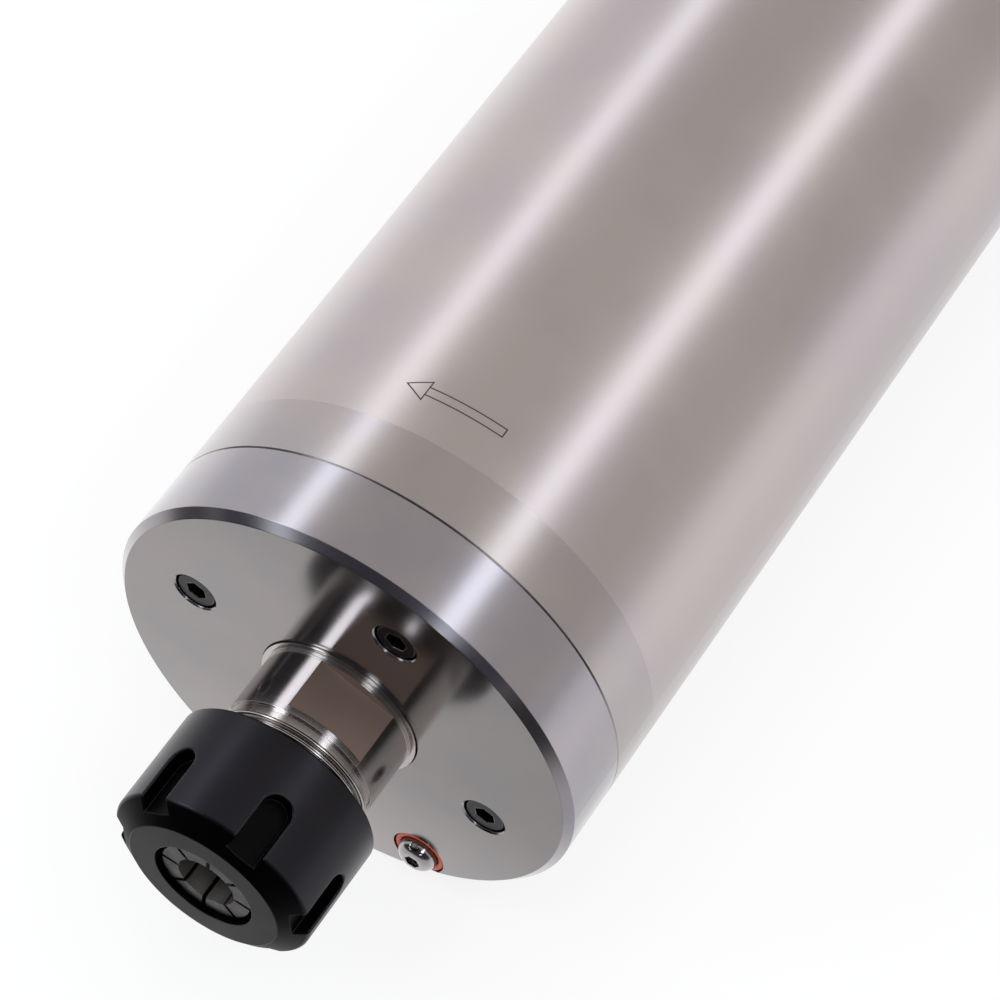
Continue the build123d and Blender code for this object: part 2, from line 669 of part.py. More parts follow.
with BuildPart() as bleed_seal:
    with Locations(across(COVER_FACE + SEAL_SUNK + SEAL_TUBE_R - STATIC_GAP / 2)):
        with PolarLocations(BLEED_CIRCLE_R, 1, start_angle=BLEED_PHASE):
            Torus(BLEED_HEAD_R + SEAL_TUBE_R + STATIC_GAP, SEAL_TUBE_R)
bleed_seal.part.label = "bleed_seal"
export_step(bleed_seal.part, "parts/bleed_seal.step")

groove_floor_r = SPIGOT_R - 2 * O_RING_R
front_groove_middle = SEAT_REAR - FRONT_SHOULDER
with BuildPart() as front_bearing_housing:
    revolve(
        outline(
            (FRONT_BEARING.outer_r, SEAT_FRONT),
            (BODY_R - JOINT_CHAMFER, SEAT_FRONT),
            (BODY_R, SEAT_FRONT + JOINT_CHAMFER),
            (BODY_R, SLEEVE_FRONT),
            (SPIGOT_R, SLEEVE_FRONT),
            (SPIGOT_R, SEAT_REAR),
            (land_r, SEAT_REAR),
            (land_r, FRONT_STACK_END),
            (FRONT_BEARING.outer_r, FRONT_STACK_END),
        ),
        axis=Axis.Y,
    )
    groove = band(groove_floor_r, BODY_R, front_groove_middle - O_RING_R, front_groove_middle + O_RING_R)
    revolve(groove, axis=Axis.Y, mode=Mode.SUBTRACT)
    with Locations(across(SEAT_FRONT)):
        with PolarLocations(SCREW_CIRCLE_R, COVER_SCREWS, start_angle=COVER_SCREW_PHASE):
            Hole(SCREW_R, SCREW_LEN - COVER_LEN + SCREW_SUNK + DRILL_OVERRUN)
front_bearing_housing.part.label = "front_bearing_housing"
export_step(front_bearing_housing.part, "parts/front_bearing_housing.step")

with BuildPart() as front_outer_rings:
    for front in FRONT_ROWS:
        revolve(outer_ring(FRONT_BEARING, front), axis=Axis.Y)
front_outer_rings.part.label = "front_outer_rings"
export_step(front_outer_rings.part, "parts/front_outer_rings.step")

with BuildPart() as front_outer_spacer:
    revolve(band(land_r, cover_spigot_r, spacer_front, FRONT_ROWS[1]), axis=Axis.Y)
front_outer_spacer.part.label = "front_outer_spacer"
export_step(front_outer_spacer.part, "parts/front_outer_spacer.step")

# ---- Sleeve, cooling jacket and stator ----
with BuildPart() as outer_sleeve:
    revolve(band(BODY_R - SLEEVE_WALL, BODY_R, SLEEVE_FRONT, SLEEVE_REAR), axis=Axis.Y)
outer_sleeve.part.label = "outer_sleeve"
export_step(outer_sleeve.part, "parts/outer_sleeve.step")

# Water goes once round the stator in each channel, turns back at the wall and crosses to the next.
with BuildPart() as cooling_jacket:
    jacket_rear = REAR_HOUSING_FRONT
    channel_pitch = (jacket_rear - SEAT_REAR - 2 * COLLECTOR_LEN) / CHANNELS
    channel_floor_r = SPIGOT_R - CHANNEL_DEPTH
    first_channel = SEAT_REAR + (channel_pitch - CHANNEL_WIDTH) / 2
    last_channel = first_channel + (CHANNELS - 1) * channel_pitch
    wall_front_side = CHANNEL_MIDDLE - (360 - CHANNEL_ARC) / 2
    wall_rear_side = CHANNEL_MIDDLE + (360 - CHANNEL_ARC) / 2
    revolve(band(STATOR_R, SPIGOT_R, SEAT_REAR, jacket_rear), axis=Axis.Y)
    for index in range(CHANNELS):
        front = first_channel + index * channel_pitch
        channel = band(channel_floor_r, BODY_R, front, front + CHANNEL_WIDTH, angle=wall_front_side)
        revolve(channel, axis=Axis.Y, revolution_arc=CHANNEL_ARC, mode=Mode.SUBTRACT)
    for index in range(CHANNELS - 1):
        front = first_channel + index * channel_pitch
        start = wall_front_side if index % 2 == 0 else wall_rear_side + CROSSING_ARC
        crossing = band(channel_floor_r, BODY_R, front, front + channel_pitch, angle=start)
        revolve(crossing, axis=Axis.Y, revolution_arc=CROSSING_ARC, mode=Mode.SUBTRACT)
    link = band(channel_floor_r, BODY_R, first_channel, first_channel + CHANNEL_WIDTH, angle=wall_rear_side)
    revolve(link, axis=Axis.Y, revolution_arc=wall_rear_side - CHANNEL_MIDDLE, mode=Mode.SUBTRACT)
    collector_angle = PORT_PHASES["water_outlet"]
    collector_front = jacket_rear - COLLECTOR_LEN
    collector = band(channel_floor_r, BODY_R, collector_front, jacket_rear, angle=collector_angle)
    revolve(collector, axis=Axis.Y, revolution_arc=collector_angle - CHANNEL_MIDDLE, mode=Mode.SUBTRACT)
    with BuildSketch(across(first_channel)):
        with PolarLocations((BODY_R + channel_floor_r) / 2, 1, start_angle=CHANNEL_MIDDLE):
            Rectangle(BODY_R - channel_floor_r, RETURN_WIDTH)
    extrude(amount=first_channel - jacket_rear, mode=Mode.SUBTRACT)
    with BuildSketch(across(last_channel)):
        with PolarLocations((BODY_R + channel_floor_r) / 2, 1, start_angle=PORT_PHASES["water_inlet"]):
            Rectangle(BODY_R - channel_floor_r, 2 * PASSAGE_R)
    extrude(amount=last_channel - jacket_rear, mode=Mode.SUBTRACT)
cooling_jacket.part.label = "cooling_jacket"
export_step(cooling_jacket.part, "parts/cooling_jacket.step")

rear_groove_middle = REAR_HOUSING_FRONT + REAR_SEAL_SET_IN
with BuildPart() as sleeve_seals:
    for station in (front_groove_middle, rear_groove_middle):
        revolve(ring(SPIGOT_R + STATIC_GAP / 2 - O_RING_R, O_RING_R, station), axis=Axis.Y)
sleeve_seals.part.label = "sleeve_seals"
export_step(sleeve_seals.part, "parts/sleeve_seals.step")

slot_floor_r = STATOR_BORE_R + TOOTH_TIP + STATOR_SLOT_DEPTH
slot_middle_r = STATOR_BORE_R + TOOTH_TIP + STATOR_SLOT_DEPTH / 2
with BuildPart() as stator_core:
    revolve(band(STATOR_BORE_R, STATOR_R - STATIC_GAP, STATOR_FRONT, STATOR_REAR), axis=Axis.Y)
    with BuildSketch(across(STATOR_FRONT)):
        with PolarLocations(slot_middle_r, STATOR_SLOTS):
            Rectangle(STATOR_SLOT_DEPTH, STATOR_SLOT_WIDTH)
        with PolarLocations(STATOR_BORE_R, STATOR_SLOTS):
            Rectangle(2 * TOOTH_TIP + SLOT_MOUTH, SLOT_MOUTH)
    extrude(amount=-STATOR_LEN, mode=Mode.SUBTRACT)
stator_core.part.label = "stator_core"
export_step(stator_core.part, "parts/stator_core.step")

with BuildPart() as stator_windings:
    with BuildSketch(across(STATOR_FRONT)):
        with PolarLocations(slot_middle_r, STATOR_SLOTS):
            Rectangle(STATOR_SLOT_DEPTH - 2 * SLOT_LINER, STATOR_SLOT_WIDTH - 2 * SLOT_LINER)
    extrude(amount=-STATOR_LEN)
    turn_in_r = STATOR_BORE_R + TOOTH_TIP
    turn_out_r = slot_floor_r + TOOTH_TIP
    for front in (STATOR_FRONT - END_TURN_LEN, STATOR_REAR):
        revolve(band(turn_in_r, turn_out_r, front, front + END_TURN_LEN), axis=Axis.Y)
stator_windings.part.label = "stator_windings"
export_step(stator_windings.part, "parts/stator_windings.step")

# ---- Rear of the housing ----
with BuildPart() as rear_bearing_housing:
    revolve(
        outline(
            (REAR_BEARING.pitch_r, REAR_HOUSING_FRONT),
            (SPIGOT_R, REAR_HOUSING_FRONT),
            (SPIGOT_R, SLEEVE_REAR),
            (BODY_R, SLEEVE_REAR),
            (BODY_R, REAR_JOINT - JOINT_CHAMFER),
            (BODY_R - JOINT_CHAMFER, REAR_JOINT),
            (CARRIER_R, REAR_JOINT),
            (CARRIER_R, CARRIER_BORE_FRONT),
            (REAR_BEARING.pitch_r, CARRIER_BORE_FRONT),
        ),
        axis=Axis.Y,
    )
    groove = band(groove_floor_r, BODY_R, rear_groove_middle - O_RING_R, rear_groove_middle + O_RING_R)
    revolve(groove, axis=Axis.Y, mode=Mode.SUBTRACT)
    with Locations(behind(REAR_JOINT)):
        with PolarLocations(REAR_SCREW_CIRCLE_R, REAR_SCREWS):
            Hole(SCREW_R, REAR_SCREW_LEN - REAR_COVER_LEN + SCREW_SUNK + DRILL_OVERRUN)
        with Locations((0, LEAD_RISE)):
            Hole(LEAD_DUCT_R)
    passage_end = REAR_HOUSING_FRONT + REAR_WALL
    passage_top = passage_end + 2 * PASSAGE_R - O_RING_R
    for phase in PORT_PHASES.values():
        with Locations(behind(REAR_JOINT)):
            with PolarLocations(PORT_CIRCLE_R, 1, start_angle=180 - phase):
                Hole(PASSAGE_R, REAR_JOINT - passage_end + PASSAGE_R)
        with BuildSketch(across(passage_end - PASSAGE_R)):
            with PolarLocations((PORT_CIRCLE_R + BODY_R) / 2, 1, start_angle=phase):
                Rectangle(BODY_R - PORT_CIRCLE_R, 2 * PASSAGE_R)
        extrude(amount=passage_end - PASSAGE_R - passage_top, mode=Mode.SUBTRACT)
        with BuildSketch(across(REAR_HOUSING_FRONT)):
            with PolarLocations((BODY_R + channel_floor_r) / 2, 1, start_angle=phase):
                Rectangle(BODY_R - channel_floor_r, 2 * PASSAGE_R)
        extrude(amount=REAR_HOUSING_FRONT - passage_top, mode=Mode.SUBTRACT)
rear_bearing_housing.part.label = "rear_bearing_housing"
export_step(rear_bearing_housing.part, "parts/rear_bearing_housing.step")

with BuildPart() as preload_springs:
    plate_pitch = SPRING_SPACE / SPRING_PLATES
    plate_rise = plate_pitch - SPRING_PLATE - STATIC_GAP
    spring_out_r = CARRIER_R - LABYRINTH_GAP
    for index in range(SPRING_PLATES):
        foot = CARRIER_BORE_FRONT + index * plate_pitch + STATIC_GAP / 2
        inner_foot = foot + plate_rise * ((index + 1) % 2)
        outer_foot = foot + plate_rise * (index % 2)
        revolve(
            outline(
                (REAR_BEARING.outer_r, inner_foot),
                (spring_out_r, outer_foot),
                (spring_out_r, outer_foot + SPRING_PLATE),
                (REAR_BEARING.outer_r, inner_foot + SPRING_PLATE),
            ),
            axis=Axis.Y,
        )
preload_springs.part.label = "preload_springs"
export_step(preload_springs.part, "parts/preload_springs.step")

with BuildPart() as bearing_carrier:
    lip_r = REAR_BEARING.pitch_r + LAND_SHARE * REAR_BEARING.ball_r
    revolve(
        outline(
            (lip_r, CARRIER_FRONT),
            (CARRIER_R - CARRIER_GAP, CARRIER_FRONT),
            (CARRIER_R - CARRIER_GAP, REAR_STACK_END),
            (REAR_BEARING.outer_r, REAR_STACK_END),
            (REAR_BEARING.outer_r, REAR_STACK),
            (lip_r, REAR_STACK),
        ),
        axis=Axis.Y,
    )
bearing_carrier.part.label = "bearing_carrier"
export_step(bearing_carrier.part, "parts/bearing_carrier.step")

with BuildPart() as rear_outer_rings:
    for front in REAR_ROWS:
        revolve(outer_ring(REAR_BEARING, front), axis=Axis.Y)
rear_outer_rings.part.label = "rear_outer_rings"
export_step(rear_outer_rings.part, "parts/rear_outer_rings.step")

socket_bore_r = SOCKET_R - SOCKET_WALL
with BuildPart() as rear_cover:
    revolve(
        outline(
            (0, REAR_JOINT),
            (BODY_R - JOINT_CHAMFER, REAR_JOINT),
            (BODY_R, REAR_JOINT + JOINT_CHAMFER),
            (BODY_R, REAR_FACE - END_CHAMFER),
            (BODY_R - END_CHAMFER, REAR_FACE),
            (0, REAR_FACE),
        ),
        axis=Axis.Y,
    )
    with BuildSketch(across(REAR_JOINT)):
        Circle(CAVITY_R)
        with Locations((0, LEAD_RISE / 2)):
            Rectangle(LEAD_CHAMBER_WIDTH, LEAD_RISE + 2 * LEAD_DUCT_R)
    extrude(amount=REAR_WALL_LEN - REAR_COVER_LEN, mode=Mode.SUBTRACT)
    with Locations(behind(REAR_FACE)):
        with PolarLocations(REAR_SCREW_CIRCLE_R, REAR_SCREWS):
            CounterBoreHole(SCREW_CLEAR_R, sink_r, SCREW_HEAD_LEN + SCREW_SUNK)
        with Locations((0, SOCKET_RISE)):
            Hole(socket_bore_r + STATIC_GAP, REAR_WALL_LEN)
            with GridLocations(SOCKET_SCREW_SPACING, SOCKET_SCREW_SPACING, 2, 2):
                Hole(SOCKET_SCREW_R, SOCKET_SCREW_LEN - SOCKET_FLANGE_LEN)
    face_edges = rear_cover.edges().filter_by_position(Axis.Y, REAR_FACE, REAR_FACE)
    face_edges = face_edges.filter_by(GeomType.CIRCLE)
    chamfer(face_edges.filter_by(lambda edge: abs(edge.radius - sink_r) < STATIC_GAP), SINK_CHAMFER)
    for phase in PORT_PHASES.values():
        with Locations(behind(REAR_FACE)):
            with PolarLocations(PORT_CIRCLE_R, 1, start_angle=180 - phase):
                CounterBoreHole(PASSAGE_R, PORT_SHANK_R + STATIC_GAP, PORT_SHANK_LEN + STATIC_GAP)
        with Locations(across(REAR_JOINT)):
            with PolarLocations(PORT_CIRCLE_R, 1, start_angle=phase):
                joint_groove_r = JOINT_SEAL_R + JOINT_SEAL_TUBE_R + STATIC_GAP
                Hole(joint_groove_r, 2 * JOINT_SEAL_TUBE_R)
rear_cover.part.label = "rear_cover"
export_step(rear_cover.part, "parts/rear_cover.step")

rear_screw = screw(SCREW_HEAD_R, SCREW_HEAD_LEN, shank_r, REAR_SCREW_LEN, SCREW_HEX, SINK_CHAMFER)
with BuildPart() as rear_cover_screws:
    with Locations(behind(REAR_FACE - SCREW_SUNK)):
        with PolarLocations(REAR_SCREW_CIRCLE_R, REAR_SCREWS):
            add(rear_screw)
rear_cover_screws.part.label = "rear_cover_screws"
export_step(rear_cover_screws.part, "parts/rear_cover_screws.step")

with BuildPart() as passage_seals:
    for phase in PORT_PHASES.values():
        with Locations(across(REAR_JOINT + JOINT_SEAL_TUBE_R)):
            with PolarLocations(PORT_CIRCLE_R, 1, start_angle=phase):
                Torus(JOINT_SEAL_R, JOINT_SEAL_TUBE_R - STATIC_GAP / 2)
passage_seals.part.label = "passage_seals"
export_step(passage_seals.part, "parts/passage_seals.step")

# ---- Power socket ----
flange_rear = REAR_FACE + SOCKET_FLANGE_LEN
with BuildPart() as socket_shell:
    with Locations(behind(REAR_FACE)):
        with Locations((0, SOCKET_RISE)):
            Box(SOCKET_FLANGE, SOCKET_FLANGE, SOCKET_FLANGE_LEN, align=STANDING)
            fillet(socket_shell.edges().filter_by(Axis.Y), SOCKET_WALL)
            Cylinder(SOCKET_R, SOCKET_FLANGE_LEN + SOCKET_LEN, align=STANDING)
            Cylinder(socket_bore_r, SOCKET_FLANGE_LEN + SOCKET_LEN, align=STANDING, mode=Mode.SUBTRACT)
            with Locations((0, socket_bore_r, SOCKET_FLANGE_LEN + SOCKET_KEY)):
                Box(SOCKET_KEY, SOCKET_KEY, SOCKET_LEN - SOCKET_KEY, align=STANDING)
    with Locations(behind(flange_rear)):
        with Locations((0, SOCKET_RISE)):
            with GridLocations(SOCKET_SCREW_SPACING, SOCKET_SCREW_SPACING, 2, 2):
                Hole(SOCKET_SCREW_R + 2 * STATIC_GAP, SOCKET_FLANGE_LEN)
socket_shell.part.label = "socket_shell"
export_step(socket_shell.part, "parts/socket_shell.step")

with BuildPart() as socket_insert:
    with Locations(behind(REAR_FACE - INSERT_SUNK)):
        with Locations((0, SOCKET_RISE)):
            Cylinder(socket_bore_r - STATIC_GAP, SOCKET_FLANGE_LEN + INSERT_SUNK, align=STANDING)
            with PolarLocations(PIN_CIRCLE_R, PINS, start_angle=180 / PINS):
                Cylinder(
                    PIN_R + STATIC_GAP,
                    SOCKET_FLANGE_LEN + INSERT_SUNK,
                    align=STANDING,
                    mode=Mode.SUBTRACT,
                )
socket_insert.part.label = "socket_insert"
export_step(socket_insert.part, "parts/socket_insert.step")

with BuildPart() as socket_pins:
    with Locations(behind(REAR_FACE - INSERT_SUNK - PIN_TAIL)):
        with Locations((0, SOCKET_RISE)):
            with PolarLocations(PIN_CIRCLE_R, PINS, start_angle=180 / PINS):
                pin_len = PIN_TAIL + INSERT_SUNK + SOCKET_FLANGE_LEN + PIN_LEN
                Cylinder(PIN_R, pin_len, align=STANDING)
    tips = socket_pins.edges().group_by(Axis.Y)[-1]
    chamfer(tips, PIN_CHAMFER)
socket_pins.part.label = "socket_pins"
export_step(socket_pins.part, "parts/socket_pins.step")

flange_screw = screw(
    SOCKET_SCREW_HEAD_R,
    SOCKET_SCREW_HEAD_LEN,
    SOCKET_SCREW_R - STATIC_GAP,
    SOCKET_SCREW_LEN - STATIC_GAP + SOCKET_SCREW_HEAD_LEN - SOCKET_SCREW_TIP_GAP,
    SOCKET_SCREW_HEX,
    SINK_CHAMFER,
)
with BuildPart() as socket_screws:
    with Locations(behind(flange_rear + SOCKET_SCREW_HEAD_LEN)):
        with Locations((0, SOCKET_RISE)):
            with GridLocations(SOCKET_SCREW_SPACING, SOCKET_SCREW_SPACING, 2, 2):
                add(flange_screw)
socket_screws.part.label = "socket_screws"
export_step(socket_screws.part, "parts/socket_screws.step")

with BuildPart() as motor_leads:
    for side in (-1, 1):
        for row, lead_x, lead_z in LEAD_PLACES:
            pin_x = side * PIN_CIRCLE_R * cos(radians(180 / PINS))
            pin_z = SOCKET_RISE + row * PIN_CIRCLE_R * sin(radians(180 / PINS))
            duct_x = side * lead_x
            duct_z = LEAD_RISE + lead_z
            pin_end = REAR_FACE - INSERT_SUNK - PIN_TAIL
            with BuildLine() as route:
                Line((duct_x, STATOR_REAR + END_TURN_LEN, duct_z), (duct_x, REAR_JOINT, duct_z))
                middle = (REAR_JOINT + pin_end) / 2
                Bezier(
                    (duct_x, REAR_JOINT, duct_z),
                    (duct_x, middle, duct_z),
                    (pin_x, middle, pin_z),
                    (pin_x, pin_end, pin_z),
                )
            with BuildSketch(behind(STATOR_REAR + END_TURN_LEN)):
                with Locations((-duct_x, duct_z)):
                    Circle(LEAD_R)
            sweep(path=route.line)
motor_leads.part.label = "motor_leads"
export_step(motor_leads.part, "parts/motor_leads.step")


# ---- Water fittings ----
def on_port(phase, station):
    """Location on the axis of a water port, with its Z out of the rear."""
    turn = radians(phase)
    centre = (PORT_CIRCLE_R * cos(turn), station, PORT_CIRCLE_R * sin(turn))
    return Location(Plane(origin=centre, x_dir=(-1, 0, 0), z_dir=(0, 1, 0)))


def fitting(phase):
    """Body of a push-in fitting for a water tube."""
    depth = COLLAR_DEPTH + COLLAR_TRAVEL + COLLAR_GAP
    with BuildPart() as body:
        with BuildSketch(Plane.XY.offset(WASHER_LEN)):
            RegularPolygon(PORT_HEX / 2, 6, major_radius=False)
        extrude(amount=PORT_HEX_LEN)
        with BuildSketch():
            Circle(PORT_SHANK_R)
        extrude(amount=WASHER_LEN)
        extrude(to_extrude=body.faces().sort_by(Axis.Z)[0], amount=PORT_SHANK_LEN)
        with BuildSketch(Plane.XY.offset(WASHER_LEN + PORT_HEX_LEN)):
            Circle(PORT_BARREL_R)
        extrude(amount=PORT_BARREL_LEN)
        chamfer(body.edges().group_by(Axis.Z)[-1], SINK_CHAMFER)
        with Locations((0, 0, WASHER_LEN + PORT_HEX_LEN + PORT_BARREL_LEN)):
            CounterBoreHole(TUBE_R, COLLAR_R + COLLAR_GAP, depth, depth + TUBE_GRIP)
            Hole(PORT_BORE_R)
    return body.part.moved(on_port(phase, REAR_FACE))


def release_collar(phase):
    """Collar that is pushed in to let go of the tube."""
    with BuildPart() as collar:
        with BuildSketch(Plane.XY.offset(-COLLAR_DEPTH)):
            Circle(COLLAR_R)
            Circle(COLLAR_BORE_R, mode=Mode.SUBTRACT)
        extrude(amount=COLLAR_DEPTH + COLLAR_STAND_OFF)
        with BuildSketch(Plane.XY.offset(COLLAR_STAND_OFF)):
            Circle(COLLAR_FLANGE_R)
            Circle(COLLAR_BORE_R, mode=Mode.SUBTRACT)
        extrude(amount=COLLAR_FLANGE_LEN)
    return collar.part.moved(on_port(phase, PORT_END))


with BuildPart() as water_inlet:
    add(fitting(PORT_PHASES["water_inlet"]))
water_inlet.part.label = "water_inlet"
export_step(water_inlet.part, "parts/water_inlet.step")

with BuildPart() as water_outlet:
    add(fitting(PORT_PHASES["water_outlet"]))
water_outlet.part.label = "water_outlet"
export_step(water_outlet.part, "parts/water_outlet.step")

with BuildPart() as inlet_collar:
    add(release_collar(PORT_PHASES["water_inlet"]))
inlet_collar.part.label = "inlet_collar"
export_step(inlet_collar.part, "parts/inlet_collar.step")

with BuildPart() as outlet_collar:
    add(release_collar(PORT_PHASES["water_outlet"]))
outlet_collar.part.label = "outlet_collar"
export_step(outlet_collar.part, "parts/outlet_collar.step")

with BuildPart() as port_washers:
    for phase in PORT_PHASES.values():
        with Locations(on_port(phase, REAR_FACE)):
            Cylinder(WASHER_R, WASHER_LEN, align=STANDING)
            Cylinder(PORT_SHANK_R + STATIC_GAP, WASHER_LEN, align=STANDING, mode=Mode.SUBTRACT)
port_washers.part.label = "port_washers"
export_step(port_washers.part, "parts/port_washers.step")
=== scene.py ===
"""Looks of a water-cooled motor spindle: finishes, edge breaks, threads, marks, light and camera.

Everything is in metres, unless its name ends in _mm or _um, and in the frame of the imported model:
the spindle axis is Y, the nose looks along -Y, and +Z is up.
"""

import logging
import math
from dataclasses import dataclass, field
from enum import Enum

import bmesh
import bpy
from mathutils import Matrix, Vector


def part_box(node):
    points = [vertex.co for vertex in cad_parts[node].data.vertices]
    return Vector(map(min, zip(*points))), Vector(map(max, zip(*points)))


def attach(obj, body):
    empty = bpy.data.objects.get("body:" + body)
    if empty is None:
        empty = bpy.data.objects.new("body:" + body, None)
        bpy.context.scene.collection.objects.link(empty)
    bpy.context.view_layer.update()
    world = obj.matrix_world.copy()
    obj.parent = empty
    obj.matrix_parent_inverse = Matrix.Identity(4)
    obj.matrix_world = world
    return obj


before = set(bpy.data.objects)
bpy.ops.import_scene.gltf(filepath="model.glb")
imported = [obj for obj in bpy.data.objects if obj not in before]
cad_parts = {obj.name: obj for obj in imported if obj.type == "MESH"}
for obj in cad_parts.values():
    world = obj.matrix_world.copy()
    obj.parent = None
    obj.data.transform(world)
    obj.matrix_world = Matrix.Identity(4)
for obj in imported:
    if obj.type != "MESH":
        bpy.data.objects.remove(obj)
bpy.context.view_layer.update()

LOG = logging.getLogger("spindle")
MM = 0.001
UM = 1e-6

BARREL_R_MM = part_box("outer_sleeve")[1].x / MM
SLEEVE_FRONT_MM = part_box("outer_sleeve")[0].y / MM
COVER_FACE_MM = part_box("front_cover")[0].y / MM
NUT_FACE_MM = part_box("collet_nut")[0].y / MM
NUT_R_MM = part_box("collet_nut")[1].x / MM

WHITE = "#ffffff"
SRGB_KNEE = 0.04045
SRGB_SLOPE = 12.92
SRGB_LIFT = 0.055
SRGB_POWER = 2.4
HEX_TOP = 255

SMOOTH = {"interpolation_type": "SMOOTHSTEP"}
COLOURS = {"data_type": "RGBA"}
MIX_UNDER, MIX_OVER, MIX_OUT = 6, 7, 2  # sockets of a Mix node that is set to colours
NUMBER_UNDER, NUMBER_OVER = 2, 3  # sockets of one that mixes numbers
DRIFT_NOISE = {"Detail": 3.0, "Roughness": 0.55}  # soft blots, with a little grit in them
MARK_NOISE = {"Detail": 2.0, "Roughness": 0.6}  # uneven marks, some deeper than others
ROUGH_DRIFT = (0.3, 0.7)  # stretch of the drift noise that moves the roughness
STAIN_DRIFT = (0.35, 0.65)  # stretch of the drift noise that moves the colour
EDGE_HIGHLIGHT_TURN = (0.995, 0.9)  # cosine of the corner's turn where the painted edge highlight starts, and where it is full
BEVEL_SAMPLES = 6

Feed = float | tuple | bpy.types.Node | bpy.types.NodeSocket  # what an input can be given


def mm(value: float) -> float:
    """Returns a length in millimetres as metres."""
    return value * MM


def linear(hex_code: str) -> tuple[float, float, float, float]:
    """Turns an sRGB hex colour into the linear colour that a shader takes.

    Args:
        hex_code: Colour as "#rrggbb".

    Returns:
        Red, green, blue and alpha, linear.
    """
    shares = [int(hex_code[start : start + 2], 16) / HEX_TOP for start in (1, 3, 5)]
    bent = [
        share / SRGB_SLOPE
        if share <= SRGB_KNEE
        else ((share + SRGB_LIFT) / (1 + SRGB_LIFT)) ** SRGB_POWER
        for share in shares
    ]
    return (*bent, 1.0)


def add_node(
    tree: bpy.types.NodeTree,
    kind: str,
    feeds: dict[str | int, Feed] | tuple[Feed, ...] = (),
    **settings: str | int,
) -> bpy.types.Node:
    """Adds one node with its settings and links.

    Args:
        tree: Node tree that takes the node.
        kind: Blender's name for the node type, without its "ShaderNode".
        feeds: What the inputs get, in order, or by number or name. A node feeds its first output.
        **settings: Properties of the node.

    Returns:
        The new node.
    """
    node = tree.nodes.new(f"ShaderNode{kind}")
    for name, value in settings.items():
        setattr(node, name, value)
    for socket, value in (feeds if isinstance(feeds, dict) else dict(enumerate(feeds))).items():
        if isinstance(value, bpy.types.Node):
            value = value.outputs[0]
        if isinstance(value, bpy.types.NodeSocket):
            tree.links.new(value, node.inputs[socket])
        else:
            node.inputs[socket].default_value = value
    return node


class Grain(Enum):
    """How a tool or a wheel has left its marks on a surface."""

    NONE = "none"
    AROUND = "around the spindle axis"
    ALL_WAYS = "in all directions"


@dataclass(frozen=True)
class Skin:
    """The node tree of one material, with what its looks are worked out from.

    Attributes:
        tree: Node tree.
        place: Object coordinates.
        drift: Slow drift of a surface that has been wiped and handled.
        rounded: Normal that turns smoothly round the corners.
    """

    tree: bpy.types.NodeTree
    place: Feed
    drift: Feed
    rounded: Feed

    def polar(self) -> Feed:
        """Turns the place into polar measures.

        Returns:
            A vector of the distance from the spindle axis and the distance along it.
        """
        across = add_node(self.tree, "VectorMath", (self.place, (1.0, 0.0, 1.0)), operation="MULTIPLY")
        radius = add_node(self.tree, "VectorMath", (across,), operation="LENGTH").outputs["Value"]
        along = add_node(self.tree, "SeparateXYZ", (self.place,)).outputs["Y"]
        return add_node(self.tree, "CombineXYZ", (radius, along))


